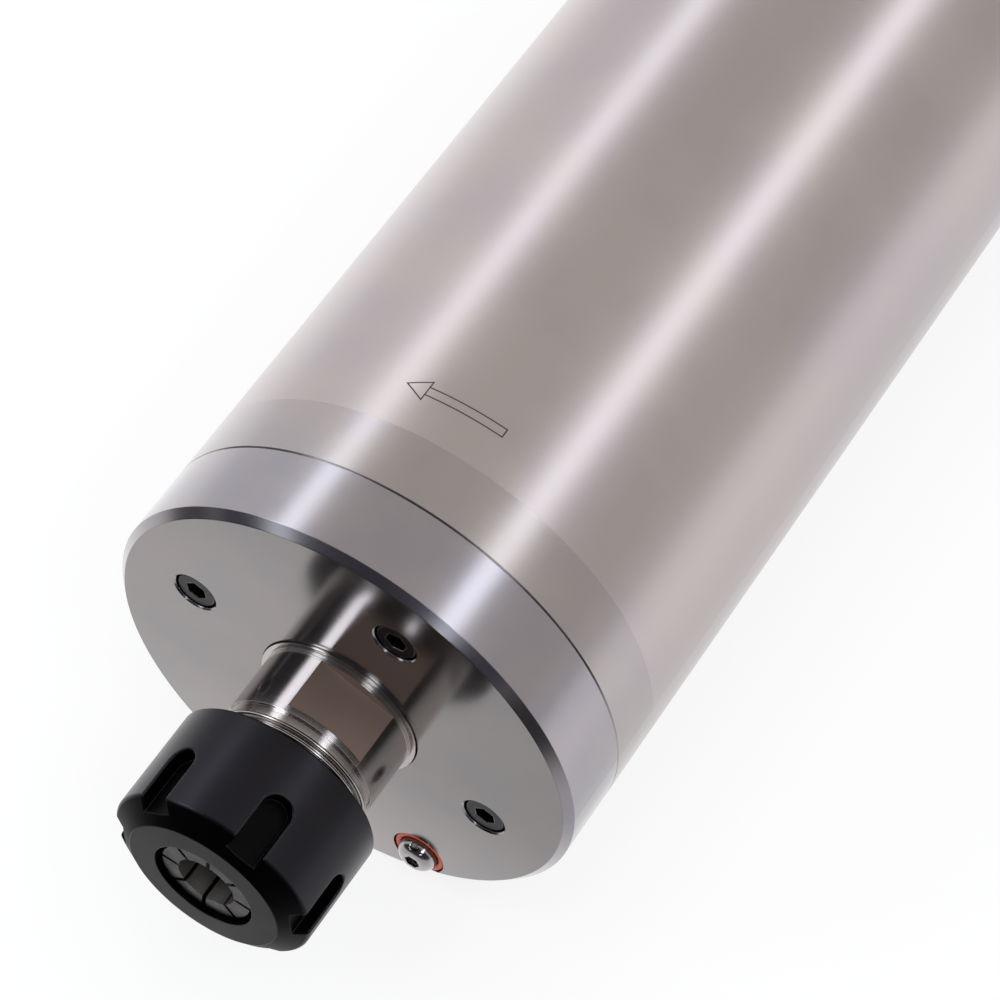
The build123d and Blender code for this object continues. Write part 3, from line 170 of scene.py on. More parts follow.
@dataclass(frozen=True)
class Finish:
    """A surface, with the marks of its making.

    Attributes:
        name: Name of the material.
        colour: Colour, sRGB.
        roughness: Mean roughness.
        metallic: Share of metal, 0 for resin and rubber.
        grain: Direction of the marks.
        pitch_mm: Distance between marks.
        depth_um: Depth of the marks.
        cloud: How far the roughness drifts over the surface.
        cloud_mm: Size of that drift.
        edge_mm: Radius at which corners catch the light.
        stain: How far the colour drifts over the surface.
        edge_highlight: How far a painted highlight lightens the corners.
        edge_highlight_colour: Colour of the painted highlight on the corners, sRGB.
    """

    name: str
    colour: str
    roughness: float
    metallic: float = 1.0
    grain: Grain = Grain.NONE
    pitch_mm: float = 0.5
    depth_um: float = 1.0
    cloud: float = 0.12
    cloud_mm: float = 14.0
    edge_mm: float = 0.12
    stain: float = 0.02
    edge_highlight: float = 0.0
    edge_highlight_colour: str = "#8f8d8b"

    def build(self) -> bpy.types.Material:
        """Makes the material.

        Returns:
            The new material.
        """
        material = bpy.data.materials.new(self.name)
        material.use_nodes = True
        tree = material.node_tree
        tree.nodes.clear()
        place = add_node(tree, "TexCoord").outputs["Object"]
        noise = {"Vector": place, "Scale": 1 / mm(self.cloud_mm), **DRIFT_NOISE}
        skin = Skin(tree, place, add_node(tree, "TexNoise", noise), self.rounded(tree))
        looks = {
            # Painted highlight: the corners are lightened where the finish asks for it.
            "Base Color": self.highlit_edges(skin, self.tint(skin)) if self.edge_highlight > 0 else self.tint(skin),
            "Metallic": self.metallic,
            "Roughness": self.rough(skin),
            "Normal": self.normal(skin),
        }
        shader = add_node(tree, "BsdfPrincipled", looks)
        add_node(tree, "OutputMaterial", {"Surface": shader})
        return material

    def rounded(self, tree: bpy.types.NodeTree) -> Feed:
        """Makes the normal that turns smoothly round the corners.

        Args:
            tree: Node tree of the material.

        Returns:
            The rounded normal, or the plain one where the finish rounds nothing.
        """
        if self.edge_mm > 0:
            return add_node(tree, "Bevel", {"Radius": mm(self.edge_mm)}, samples=BEVEL_SAMPLES)
        return add_node(tree, "NewGeometry").outputs["Normal"]

    def tint(self, skin: Skin) -> Feed:
        """Returns the colour, which drifts a little over the surface."""
        return self.stained(skin, self.colour)

    def stained(self, skin: Skin, colour: str) -> Feed:
        """Makes a colour that drifts between a warmer and a cooler shade.

        Args:
            skin: Surface that takes it.
            colour: Middle colour, sRGB.

        Returns:
            The drifting colour.
        """
        red, green, blue, _ = linear(colour)
        warm = (red * (1 + self.stain), green, blue * (1 - self.stain), 1.0)
        fall = 1 - 2 * self.stain
        cool = (red * fall, green * fall, blue * (fall + self.stain), 1.0)
        share = add_node(skin.tree, "MapRange", (skin.drift, *STAIN_DRIFT, 0.0, 1.0), **SMOOTH)
        feeds = {0: share, MIX_UNDER: cool, MIX_OVER: warm}
        return add_node(skin.tree, "Mix", feeds, **COLOURS).outputs[MIX_OUT]

    def highlit_edges(self, skin: Skin, colour: Feed) -> Feed:
        """Lays a painted highlight, a bright colour on the corners, over another colour.

        Args:
            skin: Surface that takes it.
            colour: Colour away from the corners.

        Returns:
            The colour with the painted highlight on its corners, up to `edge_highlight`.
        """
        plain = add_node(skin.tree, "NewGeometry").outputs["Normal"]
        turn = add_node(skin.tree, "VectorMath", (plain, skin.rounded), operation="DOT_PRODUCT")
        limits = (turn.outputs["Value"], *EDGE_HIGHLIGHT_TURN, 0.0, self.edge_highlight)
        share = add_node(skin.tree, "MapRange", limits, **SMOOTH)
        feeds = {0: share, MIX_UNDER: colour, MIX_OVER: linear(self.edge_highlight_colour)}
        return add_node(skin.tree, "Mix", feeds, **COLOURS).outputs[MIX_OUT]

    def rough(self, skin: Skin) -> Feed:
        """Makes the roughness.

        Args:
            skin: Surface that takes it.

        Returns:
            A roughness that drifts over the surface, or a plain number where nothing clouds it.
        """
        if self.cloud == 0:
            return self.roughness
        low, high = self.roughness * (1 - self.cloud), self.roughness * (1 + self.cloud)
        return add_node(skin.tree, "MapRange", (skin.drift, *ROUGH_DRIFT, low, high), **SMOOTH)

    def normal(self, skin: Skin) -> Feed:
        """Adds the marks to the rounded normal.

        Args:
            skin: Surface that takes them.

        Returns:
            The shading normal.
        """
        if self.grain is Grain.NONE:
            return skin.rounded
        place = skin.polar() if self.grain is Grain.AROUND else skin.place
        marks = {"Vector": place, "Scale": 1 / mm(self.pitch_mm), **MARK_NOISE}
        height = add_node(skin.tree, "TexNoise", marks)
        depth = {"Height": height, "Distance": self.depth_um * UM, "Normal": skin.rounded}
        return add_node(skin.tree, "Bump", depth)


@dataclass(frozen=True)
class ZonedFinish(Finish):
    """A finish with a second look in one zone.

    Attributes:
        zone_colour: Colour in the zone, sRGB.
        zone_roughness: Roughness in the zone.
    """

    zone_colour: str = "#808080"
    zone_roughness: float = 0.5

    def zone(self, skin: Skin) -> Feed:
        """Returns 1 in the zone and 0 elsewhere."""
        raise NotImplementedError

    def zone_tint(self, skin: Skin) -> Feed:
        """Returns the zone's colour, which is the same all over it."""
        return linear(self.zone_colour)

    def tint(self, skin: Skin) -> Feed:
        """Lays the zone's colour over the finish's own."""
        feeds = {0: self.zone(skin), MIX_UNDER: super().tint(skin), MIX_OVER: self.zone_tint(skin)}
        return add_node(skin.tree, "Mix", feeds, **COLOURS).outputs[MIX_OUT]

    def rough(self, skin: Skin) -> Feed:
        """Makes the zone rougher than the rest.

        Args:
            skin: Surface that takes it.

        Returns:
            The roughness of both.
        """
        matt = add_node(
            skin.tree, "Math", (self.zone(skin), self.zone_roughness), operation="MULTIPLY"
        )
        return add_node(skin.tree, "Math", (super().rough(skin), matt), operation="MAXIMUM")


@dataclass(frozen=True)
class EtchedSleeve(ZonedFinish):
    """Ground steel, etched with the outline of an arrow that shows which way the spindle turns.

    Attributes:
        tip_deg: Angle of the arrow's tip round the axis, from +X towards +Z.
        neck_deg: Angle at which its head meets its shaft.
        tail_deg: Angle of its shaft's end.
        set_in_mm: Distance of its middle from the front of the sleeve.
        head_mm: Half width of its head.
        shaft_mm: Half width of its shaft.
        line_mm: Width of the etched line.
        soft: Share of the line's half width over which each of its edges fades.
    """

    tip_deg: float = 100.06
    neck_deg: float = 95.12
    tail_deg: float = 76.2
    set_in_mm: float = 9.37
    head_mm: float = 2.25
    shaft_mm: float = 0.93
    line_mm: float = 0.26
    soft: float = 0.4

    def outside(self, skin: Skin, spot: Feed, *sides: tuple[float, float, float]) -> Feed:
        """Measures how far a spot is outside a form with straight sides.

        Args:
            skin: Surface that carries the form.
            spot: Vector of the way round the sleeve, the way off the middle, and 1.
            *sides: Each side's slopes along both ways, and its offset.

        Returns:
            The distance in millimetres, below 0 inside.
        """
        far = None
        for side in sides:
            gap = add_node(skin.tree, "VectorMath", (spot, side), operation="DOT_PRODUCT")
            gap = gap.outputs["Value"]
            far = gap if far is None else add_node(skin.tree, "Math", (far, gap), operation="MAXIMUM")
        return far

    def zone(self, skin: Skin) -> Feed:
        """Makes the etched line.

        Args:
            skin: Surface that takes it.

        Returns:
            1 on the arrow's outline and 0 off it.
        """
        tree = skin.tree
        x, y, z = add_node(tree, "SeparateXYZ", (skin.place,)).outputs
        angle = add_node(tree, "Math", (z, x), operation="ARCTAN2")
        arc = add_node(tree, "Math", (angle, BARREL_R_MM), operation="MULTIPLY")
        middle = SLEEVE_FRONT_MM + self.set_in_mm
        off = add_node(tree, "Math", (y, 1 / MM, -middle), operation="MULTIPLY_ADD")
        off = add_node(tree, "Math", (off,), operation="ABSOLUTE")
        spot = add_node(tree, "CombineXYZ", (arc, off, 1.0))
        tip, neck, tail = (
            math.radians(degrees) * BARREL_R_MM
            for degrees in (self.tip_deg, self.neck_deg, self.tail_deg)
        )
        slant = math.hypot(self.head_mm, tip - neck)
        across, along = self.head_mm / slant, (tip - neck) / slant
        shaft = self.outside(
            skin, spot, (1.0, 0.0, -neck), (-1.0, 0.0, tail), (0.0, 1.0, -self.shaft_mm)
        )
        head = self.outside(skin, spot, (across, along, -tip * across), (-1.0, 0.0, neck))
        arrow = add_node(tree, "Math", (shaft, head), operation="MINIMUM")
        edge = add_node(tree, "Math", (arrow,), operation="ABSOLUTE")
        half = self.line_mm / 2
        limits = (edge, half * (1 - self.soft), half * (1 + self.soft), 1.0, 0.0)
        return add_node(tree, "MapRange", limits, **SMOOTH)


@dataclass(frozen=True)
class FacedCover(ZonedFinish):
    """A turned cover whose face, the zone, is lapped smoother than its rim.

    Attributes:
        face_mm: How far behind the face it starts and ends turning to rim.
    """

    face_mm: tuple[float, float] = (0.02, 0.2)

    def zone(self, skin: Skin) -> Feed:
        """Finds the face.

        Args:
            skin: Surface that takes it.

        Returns:
            1 on the face and 0 on the rim.
        """
        along = add_node(skin.tree, "SeparateXYZ", (skin.place,)).outputs["Y"]
        start, end = (mm(COVER_FACE_MM + set_in) for set_in in self.face_mm)
        return add_node(skin.tree, "MapRange", (along, start, end, 1.0, 0.0), **SMOOTH)

    def zone_tint(self, skin: Skin) -> Feed:
        """Returns the face's colour, which drifts as the rim's does."""
        return self.stained(skin, self.zone_colour)

    def rough(self, skin: Skin) -> Feed:
        """Makes the roughness, which falls on the face.

        Args:
            skin: Surface that takes it.

        Returns:
            The roughness.
        """
        share = self.zone_roughness / self.roughness
        fall = add_node(skin.tree, "MapRange", (self.zone(skin), 0.0, 1.0, 1.0, share))
        rim = Finish.rough(self, skin)
        return add_node(skin.tree, "Math", (rim, fall), operation="MULTIPLY")


@dataclass(frozen=True)
class NoseSteel(ZonedFinish):
    """A ground shaft with two milled wrench flats, the zone, which are matt.

    Attributes:
        flat_deg: Direction of the first flat round the axis, from +X towards +Z.
        flat_mm: Distance of a flat from the axis.
        flat_slack_mm: How far from that distance a spot may be.
        flat_end_mm: Distance of the flats' rear end in front of the cover.
    """

    flat_deg: float = 66.0
    flat_mm: float = 13.5
    flat_slack_mm: float = 0.03
    flat_end_mm: float = 1.4

    def zone(self, skin: Skin) -> Feed:
        """Finds the flats.

        Args:
            skin: Surface that takes them.

        Returns:
            1 on the flats and 0 elsewhere.
        """
        tree = skin.tree
        turn = math.radians(self.flat_deg)
        way = (math.cos(turn) / MM, 0.0, math.sin(turn) / MM)
        out = add_node(tree, "VectorMath", (skin.place, way), operation="DOT_PRODUCT")
        away = add_node(tree, "Math", (out.outputs["Value"],), operation="ABSOLUTE")
        near = add_node(tree, "Math", (away, self.flat_mm, self.flat_slack_mm), operation="COMPARE")
        along = add_node(tree, "SeparateXYZ", (skin.place,)).outputs["Y"]
        end = mm(COVER_FACE_MM - self.flat_end_mm)
        ahead = add_node(tree, "Math", (along, end), operation="LESS_THAN")
        return add_node(tree, "Math", (near, ahead), operation="MULTIPLY")


@dataclass(frozen=True)
class RecessedSteel(ZonedFinish):
    """Steel whose recesses, the zone, lie inside a radius and behind its front face, and take a painted
    colour: painted shade in the nut's slots and bore, a painted reflection in the collet's bore.

    Attributes:
        inner_mm: Radii between which the recesses turn to the outer look.
        front_mm: Place along the axis in front of which the outer look is kept.
    """

    inner_mm: tuple[float, float] = (NUT_R_MM - 0.6, NUT_R_MM - 0.2)
    front_mm: float = NUT_FACE_MM + 0.1

    def zone(self, skin: Skin) -> Feed:
        """Finds the recesses.

        Args:
            skin: Surface that takes them.

        Returns:
            1 in the recesses and 0 elsewhere.
        """
        radius, along, _ = add_node(skin.tree, "SeparateXYZ", (skin.polar(),)).outputs
        start, end = self.inner_mm
        inside = add_node(skin.tree, "MapRange", (radius, mm(start), mm(end), 1.0, 0.0), **SMOOTH)
        behind = add_node(skin.tree, "Math", (along, mm(self.front_mm)), operation="GREATER_THAN")
        return add_node(skin.tree, "Math", (inside, behind), operation="MULTIPLY")


# Steel tube, ground round: the wheel's fine marks soften the lamps to long bands.
SLEEVE_STEEL = EtchedSleeve(
    "steel_ground_sleeve",
    "#b5adae",
    0.3,
    cloud=0.04,
    cloud_mm=30.0,
    edge_mm=0.0,
    zone_colour="#4a423b",
    zone_roughness=0.6,
)
# The same steel on the housings' rims, ground with the sleeve and wiped cleaner: sharper bands.
HOUSING_STEEL = Finish("steel_ground_housing", "#aaa4a5", 0.26, cloud=0.05, edge_mm=0.0)
# Cover of turned steel, a little bluer at the rim, with a face lapped until it mirrors the nose.
COVER_STEEL = FacedCover(
    "steel_turned_cover",
    "#a09ca2",
    0.22,
    cloud=0.05,
    cloud_mm=12.0,
    edge_mm=0.15,
    zone_colour="#949090",
    zone_roughness=0.15,
)
# Rear cover and bearing carrier, turned and not lapped: an even satin.
REAR_STEEL = Finish("steel_turned_rear", "#a5a1a2", 0.25, cloud=0.05, edge_mm=0.15)
# Black oxide on a turned nut: a satin near-black, with painted shade darkening its slots and bore, and
# painted highlights lightening its corners.
BLACK_STEEL = RecessedSteel(
    "steel_blacked_nut",
    "#2c2b30",
    0.36,
    cloud=0.08,
    edge_mm=0.25,
    edge_highlight=0.15,
    # Painted shade: the slots and bore are drawn darker than the rest of the nut.
    zone_colour="#0f0f10",
)
# Cap screws in black oxide, with painted highlights lightening the rims of head and socket.
SCREW_STEEL = Finish("steel_blacked_screws", "#2b2a2d", 0.34, edge_mm=0.35, edge_highlight=0.8)
# Spring steel collet: an oiled dark face, with a painted reflection that makes its bore pale, and
# painted highlights on its corners.
COLLET_STEEL = RecessedSteel(
    "spring_steel_ground",
    "#5a5857",
    0.3,
    cloud=0.25,
    cloud_mm=3.0,
    edge_mm=0.15,
    edge_highlight=0.4,
    # Painted reflection: the bore is drawn pale.
    zone_colour="#c8c2bb",
    zone_roughness=0.4,
    inner_mm=(6.5, 6.6),
    front_mm=0.1,
)
# Hardened shaft, ground almost to a mirror, with milled flats that stay matt and brown.
SHAFT_STEEL = NoseSteel(
    "hard_steel_ground", "#bdb8b7", 0.16, cloud=0.06, edge_mm=0.1, zone_colour="#8a776d"
)
# Thread and ribs, cut in the same steel: bright lines at each crest.
THREAD_STEEL = Finish("hard_steel_threaded", "#b1adab", 0.2, edge_mm=0.0)
# Bearing rings, honed: dense grey with sharp lights.
BEARING_STEEL = Finish("bearing_steel_honed", "#a3a2a0", 0.14)
# Bearing balls, polished all over alike: a clean mirror.
BALL_STEEL = Finish("bearing_steel_polished", "#b4b4b6", 0.06, cloud=0.0)
# Cages of moulded phenolic resin: dull brown.
CAGE_RESIN = Finish("phenolic_moulded", "#8a6a46", 0.5, metallic=0.0)
# Stacks of punched electrical sheet, 0.5 mm thick: a fine line at each sheet's edge.
LAMINATION = Finish(
    "electrical_sheet_stacked", "#5b5a5c", 0.45, grain=Grain.AROUND, pitch_mm=0.5, depth_um=8.0
)
# Cast aluminium of the rotor's cage: the pebbled skin that the die leaves, 1.2 mm from bump to bump.
ROTOR_ALLOY = Finish("aluminium_cast", "#a3a5a8", 0.4, grain=Grain.ALL_WAYS, pitch_mm=1.2, depth_um=6.0)
# Coils of 0.8 mm enamelled wire: warm ridges, glossy with varnish.
COPPER = Finish("enamelled_wire_wound", "#b06a45", 0.35, grain=Grain.AROUND, pitch_mm=0.8, depth_um=20.0)
# Turned aluminium jacket. Its feed marks are 0.15 mm apart, drawn at 0.5 mm so that they show.
JACKET_ALLOY = Finish("aluminium_turned", "#a9abad", 0.32, grain=Grain.AROUND)
# Disc springs of tempered steel strip, tumbled: soft lights.
SPRING_STEEL = Finish("spring_strip_tumbled", "#9b9a98", 0.3)
# Nitrile rubber seals, moulded: black with a dull sheen.
DARK_RUBBER = Finish("nitrile_moulded", "#1b1b1c", 0.55, metallic=0.0, edge_mm=0.05)
# Silicone rubber ring, moulded: orange-red with a soft gloss.
RED_SEAL = Finish("silicone_moulded", "#c4593b", 0.42, metallic=0.0, edge_mm=0.05)
# Stainless bleed screw, polished: small sharp lights on its dome.
BLEED_STEEL = Finish("stainless_polished", "#a6a4a6", 0.1, edge_mm=0.2)
# Socket of die-cast zinc, turned and nickel plated: a warm satin, marked as coarsely as the jacket.
SOCKET_METAL = Finish("zinc_nickel_plated", "#a3a29c", 0.24, grain=Grain.AROUND)
# Insert of glass-filled black resin, moulded: a dull near-black.
SOCKET_RESIN = Finish("glass_resin_moulded", "#202124", 0.45, metallic=0.0, edge_mm=0.2)
# Contact pins, gold plated and burnished by the plug: warm, narrow lights.
GOLD_PINS = Finish("gold_plated", "#d8b258", 0.2)
# Leads in drawn silicone sleeving: dark red and dull.
LEAD_SLEEVE = Finish("silicone_drawn", "#7c3028", 0.5, metallic=0.0)
# Tube fittings of turned brass, nickel plated: bright, warmed by the brass, with the same marks.
NICKEL_BRASS = Finish("brass_nickel_plated", "#b3ae9f", 0.2, grain=Grain.AROUND)
# Release collars of moulded blue resin: a soft gloss.
COLLAR_RESIN = Finish("blue_resin_moulded", "#2b4f8c", 0.4, metallic=0.0, edge_mm=0.2)
# Sealing washers of hard pale resin, punched: matt.
WASHER_RESIN = Finish("pale_resin_punched", "#d9d6cc", 0.45, metallic=0.0)

NODE_FINISHES: dict[Finish, tuple[str, ...]] = {
    SLEEVE_STEEL: ("outer_sleeve",),
    HOUSING_STEEL: ("front_bearing_housing", "rear_bearing_housing"),
    COVER_STEEL: ("front_cover",),
    REAR_STEEL: ("rear_cover", "bearing_carrier"),
    BLACK_STEEL: ("collet_nut",),
    SCREW_STEEL: ("cover_screws", "rear_cover_screws", "socket_screws"),
    COLLET_STEEL: ("collet",),
    SHAFT_STEEL: ("shaft", "front_lock_nut", "rear_lock_nut"),
    BEARING_STEEL: (
        "front_inner_rings",
        "front_inner_spacer",
        "front_outer_rings",
        "front_outer_spacer",
        "rear_inner_rings",
        "rear_outer_rings",
    ),
    BALL_STEEL: ("front_balls", "rear_balls"),
    CAGE_RESIN: ("front_cages", "rear_cages"),
    LAMINATION: ("rotor_core", "stator_core"),
    ROTOR_ALLOY: ("rotor_cage",),
    COPPER: ("stator_windings",),
    JACKET_ALLOY: ("cooling_jacket",),
    SPRING_STEEL: ("preload_springs",),
    DARK_RUBBER: ("sleeve_seals", "passage_seals"),
    RED_SEAL: ("bleed_seal",),
    BLEED_STEEL: ("bleed_screw",),
    SOCKET_METAL: ("socket_shell",),
    SOCKET_RESIN: ("socket_insert",),
    GOLD_PINS: ("socket_pins",),
    LEAD_SLEEVE: ("motor_leads",),
    NICKEL_BRASS: ("water_inlet", "water_outlet"),
    COLLAR_RESIN: ("inlet_collar", "outlet_collar"),
    WASHER_RESIN: ("port_washers",),
}


@dataclass
class FinishShop:
    """Keeps one material for each finish, and gives them out.

    Attributes:
        made: Materials made so far.
    """

    made: dict[Finish, bpy.types.Material] = field(default_factory=dict)

    def material(self, finish: Finish) -> bpy.types.Material:
        """Gives out a finish, which it makes at its first use.

        Args:
            finish: Finish that is asked for.

        Returns:
            Its material.
        """
        if finish not in self.made:
            self.made[finish] = finish.build()
        return self.made[finish]

    def finish_frame(self) -> None:
        """Gives every node of the frame its finish."""
        for finish, names in NODE_FINISHES.items():
            for name in names:
                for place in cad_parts[name].material_slots:
                    place.material = self.material(finish)
                LOG.info("node %s has finish %s", name, finish.name)


def sweep_ring(mesh: bmesh.types.BMesh, points: list[tuple[float, float]], steps: int) -> None:
    """Sweeps a closed profile once round the spindle axis.

    Args:
        mesh: Mesh that takes the ring.
        points: Radius and distance along the axis, in millimetres.
        steps: Steps in the turn.
    """
    start = [mesh.verts.new((mm(radius), mm(along), 0.0)) for radius, along in points]
    edges = [mesh.edges.new(pair) for pair in zip(start, start[1:] + start[:1])]
    bmesh.ops.spin(
        mesh,
        geom=[*edges, *start],
        cent=(0.0, 0.0, 0.0),
        axis=(0.0, 1.0, 0.0),
        angle=math.tau,
        steps=steps,
        use_merge=True,
        use_normal_flip=False,
        use_duplicate=False,
    )


def sweep_helix(
    mesh: bmesh.types.BMesh,
    points: list[tuple[float, float]],
    steps: int,
    turns: float,
    advance: float,
) -> None:
    """Sweeps a closed profile along a helix round the spindle axis.

    Args:
        mesh: Mesh that takes the helix.
        points: Radius and distance along the axis, in millimetres.
        steps: Steps in one turn.
        turns: How many turns.
        advance: Travel along the axis in one turn, in millimetres.
    """
    start = [mesh.verts.new((mm(radius), mm(along), 0.0)) for radius, along in points]
    face = mesh.faces.new(start)
    bmesh.ops.spin(
        mesh,
        geom=[face, *face.edges, *start],
        cent=(0.0, 0.0, 0.0),
        axis=(0.0, 1.0, 0.0),
        dvec=(0.0, mm(advance) / steps, 0.0),
        angle=math.tau * turns,
        steps=round(steps * turns),
        use_merge=False,
        use_normal_flip=False,
        use_duplicate=False,
    )


@dataclass
class Piece:
    """A modelled piece that the frame carries.

    Attributes:
        name: Name of the object.
        body: Body that it rides on.
        slot_name: Slot of the record that its finish belongs to. Not used.
        finish: Its finish.
        steps: Steps in one turn round the axis.
    """

    name: str
    body: str
    slot_name: str
    finish: Finish
    steps: int

    def model(self, mesh: bmesh.types.BMesh) -> None:
        """Builds the shape in the given mesh, in metres."""
        raise NotImplementedError

    def make(self, shop: FinishShop) -> None:
        """Builds the piece and hangs it on its body.

        Args:
            shop: Where its finish comes from.
        """
        shape = bmesh.new()
        self.model(shape)
        bmesh.ops.recalc_face_normals(shape, faces=shape.faces)
        data = bpy.data.meshes.new(self.name)
        for face in shape.faces:
            face.smooth = True
        shape.to_mesh(data)
        shape.free()
        data.materials.append(shop.material(self.finish))
        made = bpy.data.objects.new(self.name, data)
        bpy.context.scene.collection.objects.link(made)
        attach(made, self.body)
        LOG.info("piece %s: %d faces, on %s", self.name, len(data.polygons), self.body)


@dataclass
class NoseThread(Piece):
    """The fine thread on the shaft's nose, which the collet nut runs on.

    Attributes:
        root_mm: Radius at the thread's root.
        crest_mm: Radius at its crest.
        pitch_mm: Pitch.
        start_mm: First turn's place along the axis.
        turns: Number of turns.
        flank: Shares of the half pitch and of the depth at points down one flank.
    """

    name: str = "nose_thread"
    body: str = "spindle"
    slot_name: str = "shaft_steel"
    finish: Finish = THREAD_STEEL
    steps: int = 120
    root_mm: float = 15.05
    crest_mm: float = 15.95
    pitch_mm: float = 1.5
    start_mm: float = 9.9
    turns: float = 12.28
    flank: tuple[tuple[float, float], ...] = (
        (0.12, 0.0),
        (0.3, 0.06),
        (0.5, 0.25),
        (0.75, 0.7),
        (0.96, 1.0),
    )

    def model(self, mesh: bmesh.types.BMesh) -> None:
        """Sweeps one rounded tooth of the thread along its helix.

        Args:
            mesh: Mesh that takes the thread.
        """
        half, depth = self.pitch_mm / 2, self.crest_mm - self.root_mm
        rear = [
            (self.crest_mm - depth * fall, self.start_mm + half * out) for out, fall in self.flank
        ]
        front = [(radius, 2 * self.start_mm - along) for radius, along in reversed(rear)]
        sweep_helix(mesh, rear + front, self.steps, self.turns, self.pitch_mm)


@dataclass
class NoseRings(Piece):
    """Fine turned ribs where the land of the nose meets the neck.

    Attributes:
        radius_mm: Radius of the land.
        rise_mm: How far a rib stands up.
        half_mm: Half width of a rib.
        places_mm: Distances of the ribs in front of the cover.
        shares: Shares of the half turn over a rib at which its profile has a point.
    """

    name: str = "nose_rings"
    body: str = "spindle"
    slot_name: str = "shaft_steel"
    finish: Finish = THREAD_STEEL
    steps: int = 128
    radius_mm: float = 15.8
    rise_mm: float = 0.2
    half_mm: float = 0.13
    places_mm: tuple[float, ...] = (1.38, 1.0, 0.62)
    shares: tuple[float, ...] = (0.0, 0.3, 0.7, 1.0)

    def model(self, mesh: bmesh.types.BMesh) -> None:
        """Turns a rounded rib at each place.

        Args:
            mesh: Mesh that takes the ribs.
        """
        for place in self.places_mm:
            middle = COVER_FACE_MM - place
            rib = []
            for share in self.shares:
                turn = math.pi * share
                radius = self.radius_mm + self.rise_mm * math.sin(turn)
                rib.append((radius, middle - self.half_mm * math.cos(turn)))
            sweep_ring(mesh, rib, self.steps)


@dataclass(frozen=True)
class Lamp:
    """A rectangular lamp.

    Attributes:
        name: Name of the lamp.
        place: Where it hangs.
        target: Where it looks.
        size: Its width, and its length along the spindle axis.
        radiance: Brightness of its surface.
        shown: Whether metal shows it.
        colour: Its red, green and blue.
    """

    name: str
    place: Vector
    target: Vector
    size: tuple[float, float]
    radiance: float
    shown: bool
    colour: tuple[float, float, float] = (1.0, 1.0, 1.0)

    def hang(self) -> None:
        """Hangs the lamp."""
        width, length = self.size
        data = bpy.data.lights.new(self.name, "AREA")
        data.color = self.colour
        data.shape = "RECTANGLE"
        data.size, data.size_y = width, length
        data.energy = self.radiance * math.pi * width * length
        lamp = bpy.data.objects.new(self.name, data)
        bpy.context.scene.collection.objects.link(lamp)
        lamp.location = self.place
        away = (self.place - self.target).normalized()
        side = Vector((0.0, 1.0, 0.0)).cross(away).normalized()
        turned = Matrix((side, away.cross(side), away)).transposed()
        lamp.rotation_mode = "QUATERNION"
        lamp.rotation_quaternion = turned.to_quaternion()
        lamp.visible_glossy = self.shown
        lamp.visible_camera = False
        LOG.info("lamp %s at %s", self.name, tuple(round(v, 2) for v in self.place))


@dataclass(frozen=True)
class Strip:
    """A long lamp beside the spindle, parallel to its axis, which metal shows as a band.

    Attributes:
        degrees: Direction from the axis, from +X towards +Z.
        radiance: Brightness of its surface.
        start: Front end along the axis.
        end: Rear end along the axis.
        width: Width.
        far: Distance from the axis.
        colour: Its red, green and blue, a little cooler than the room.
    """

    degrees: float
    radiance: float
    start: float = -0.2
    end: float = 2.1
    width: float = 0.17
    far: float = 1.0
    colour: tuple[float, float, float] = (0.93, 1.0, 1.07)

    def lamp(self, name: str) -> Lamp:
        """Places the strip.

        Args:
            name: Name of the lamp.

        Returns:
            The strip as a lamp that looks at the axis.
        """
        turn = math.radians(self.degrees)
        way = Vector((math.cos(turn), 0.0, math.sin(turn)))
        middle = Vector((0.0, (self.start + self.end) / 2, 0.0))
        size = (self.width, self.end - self.start)
        return Lamp(name, middle + way * self.far, middle, size, self.radiance, True, self.colour)


@dataclass
class Lamps:
    """Long lamps that the metal shows, and one soft lamp overhead that it doesn't.

    Attributes:
        strips: The long lamps: two beside the barrel, and four that the cover and the nose show.
        key_radiance: Brightness of the lamp overhead.
        key_size: Its width and length.
        key_place: Where it hangs.
        key_target: Where it looks.
    """

    strips: tuple[Strip, ...] = (
        Strip(54.0, 2.5),
        Strip(134.0, 2.1),
        Strip(54.0, 4.0, -0.65, -0.2, 0.24),
        Strip(134.5, 5.5, -0.65, -0.2, 0.32),
        Strip(46.0, 2.5, -2.4, -1.1),
        Strip(150.0, 1.8, -1.6, -0.7),
    )
    key_radiance: float = 1.5
    key_size: float = 1.6
    key_place: tuple[float, float, float] = (0.25, -0.1, 1.6)
    key_target: tuple[float, float, float] = (0.0, 0.1, 0.0)

    def make(self) -> None:
        """Hangs all the lamps."""
        for number, strip in enumerate(self.strips):
            strip.lamp(f"strip_{number}").hang()
        place, target = Vector(self.key_place), Vector(self.key_target)
        Lamp("key", place, target, (self.key_size,) * 2, self.key_radiance, False).hang()


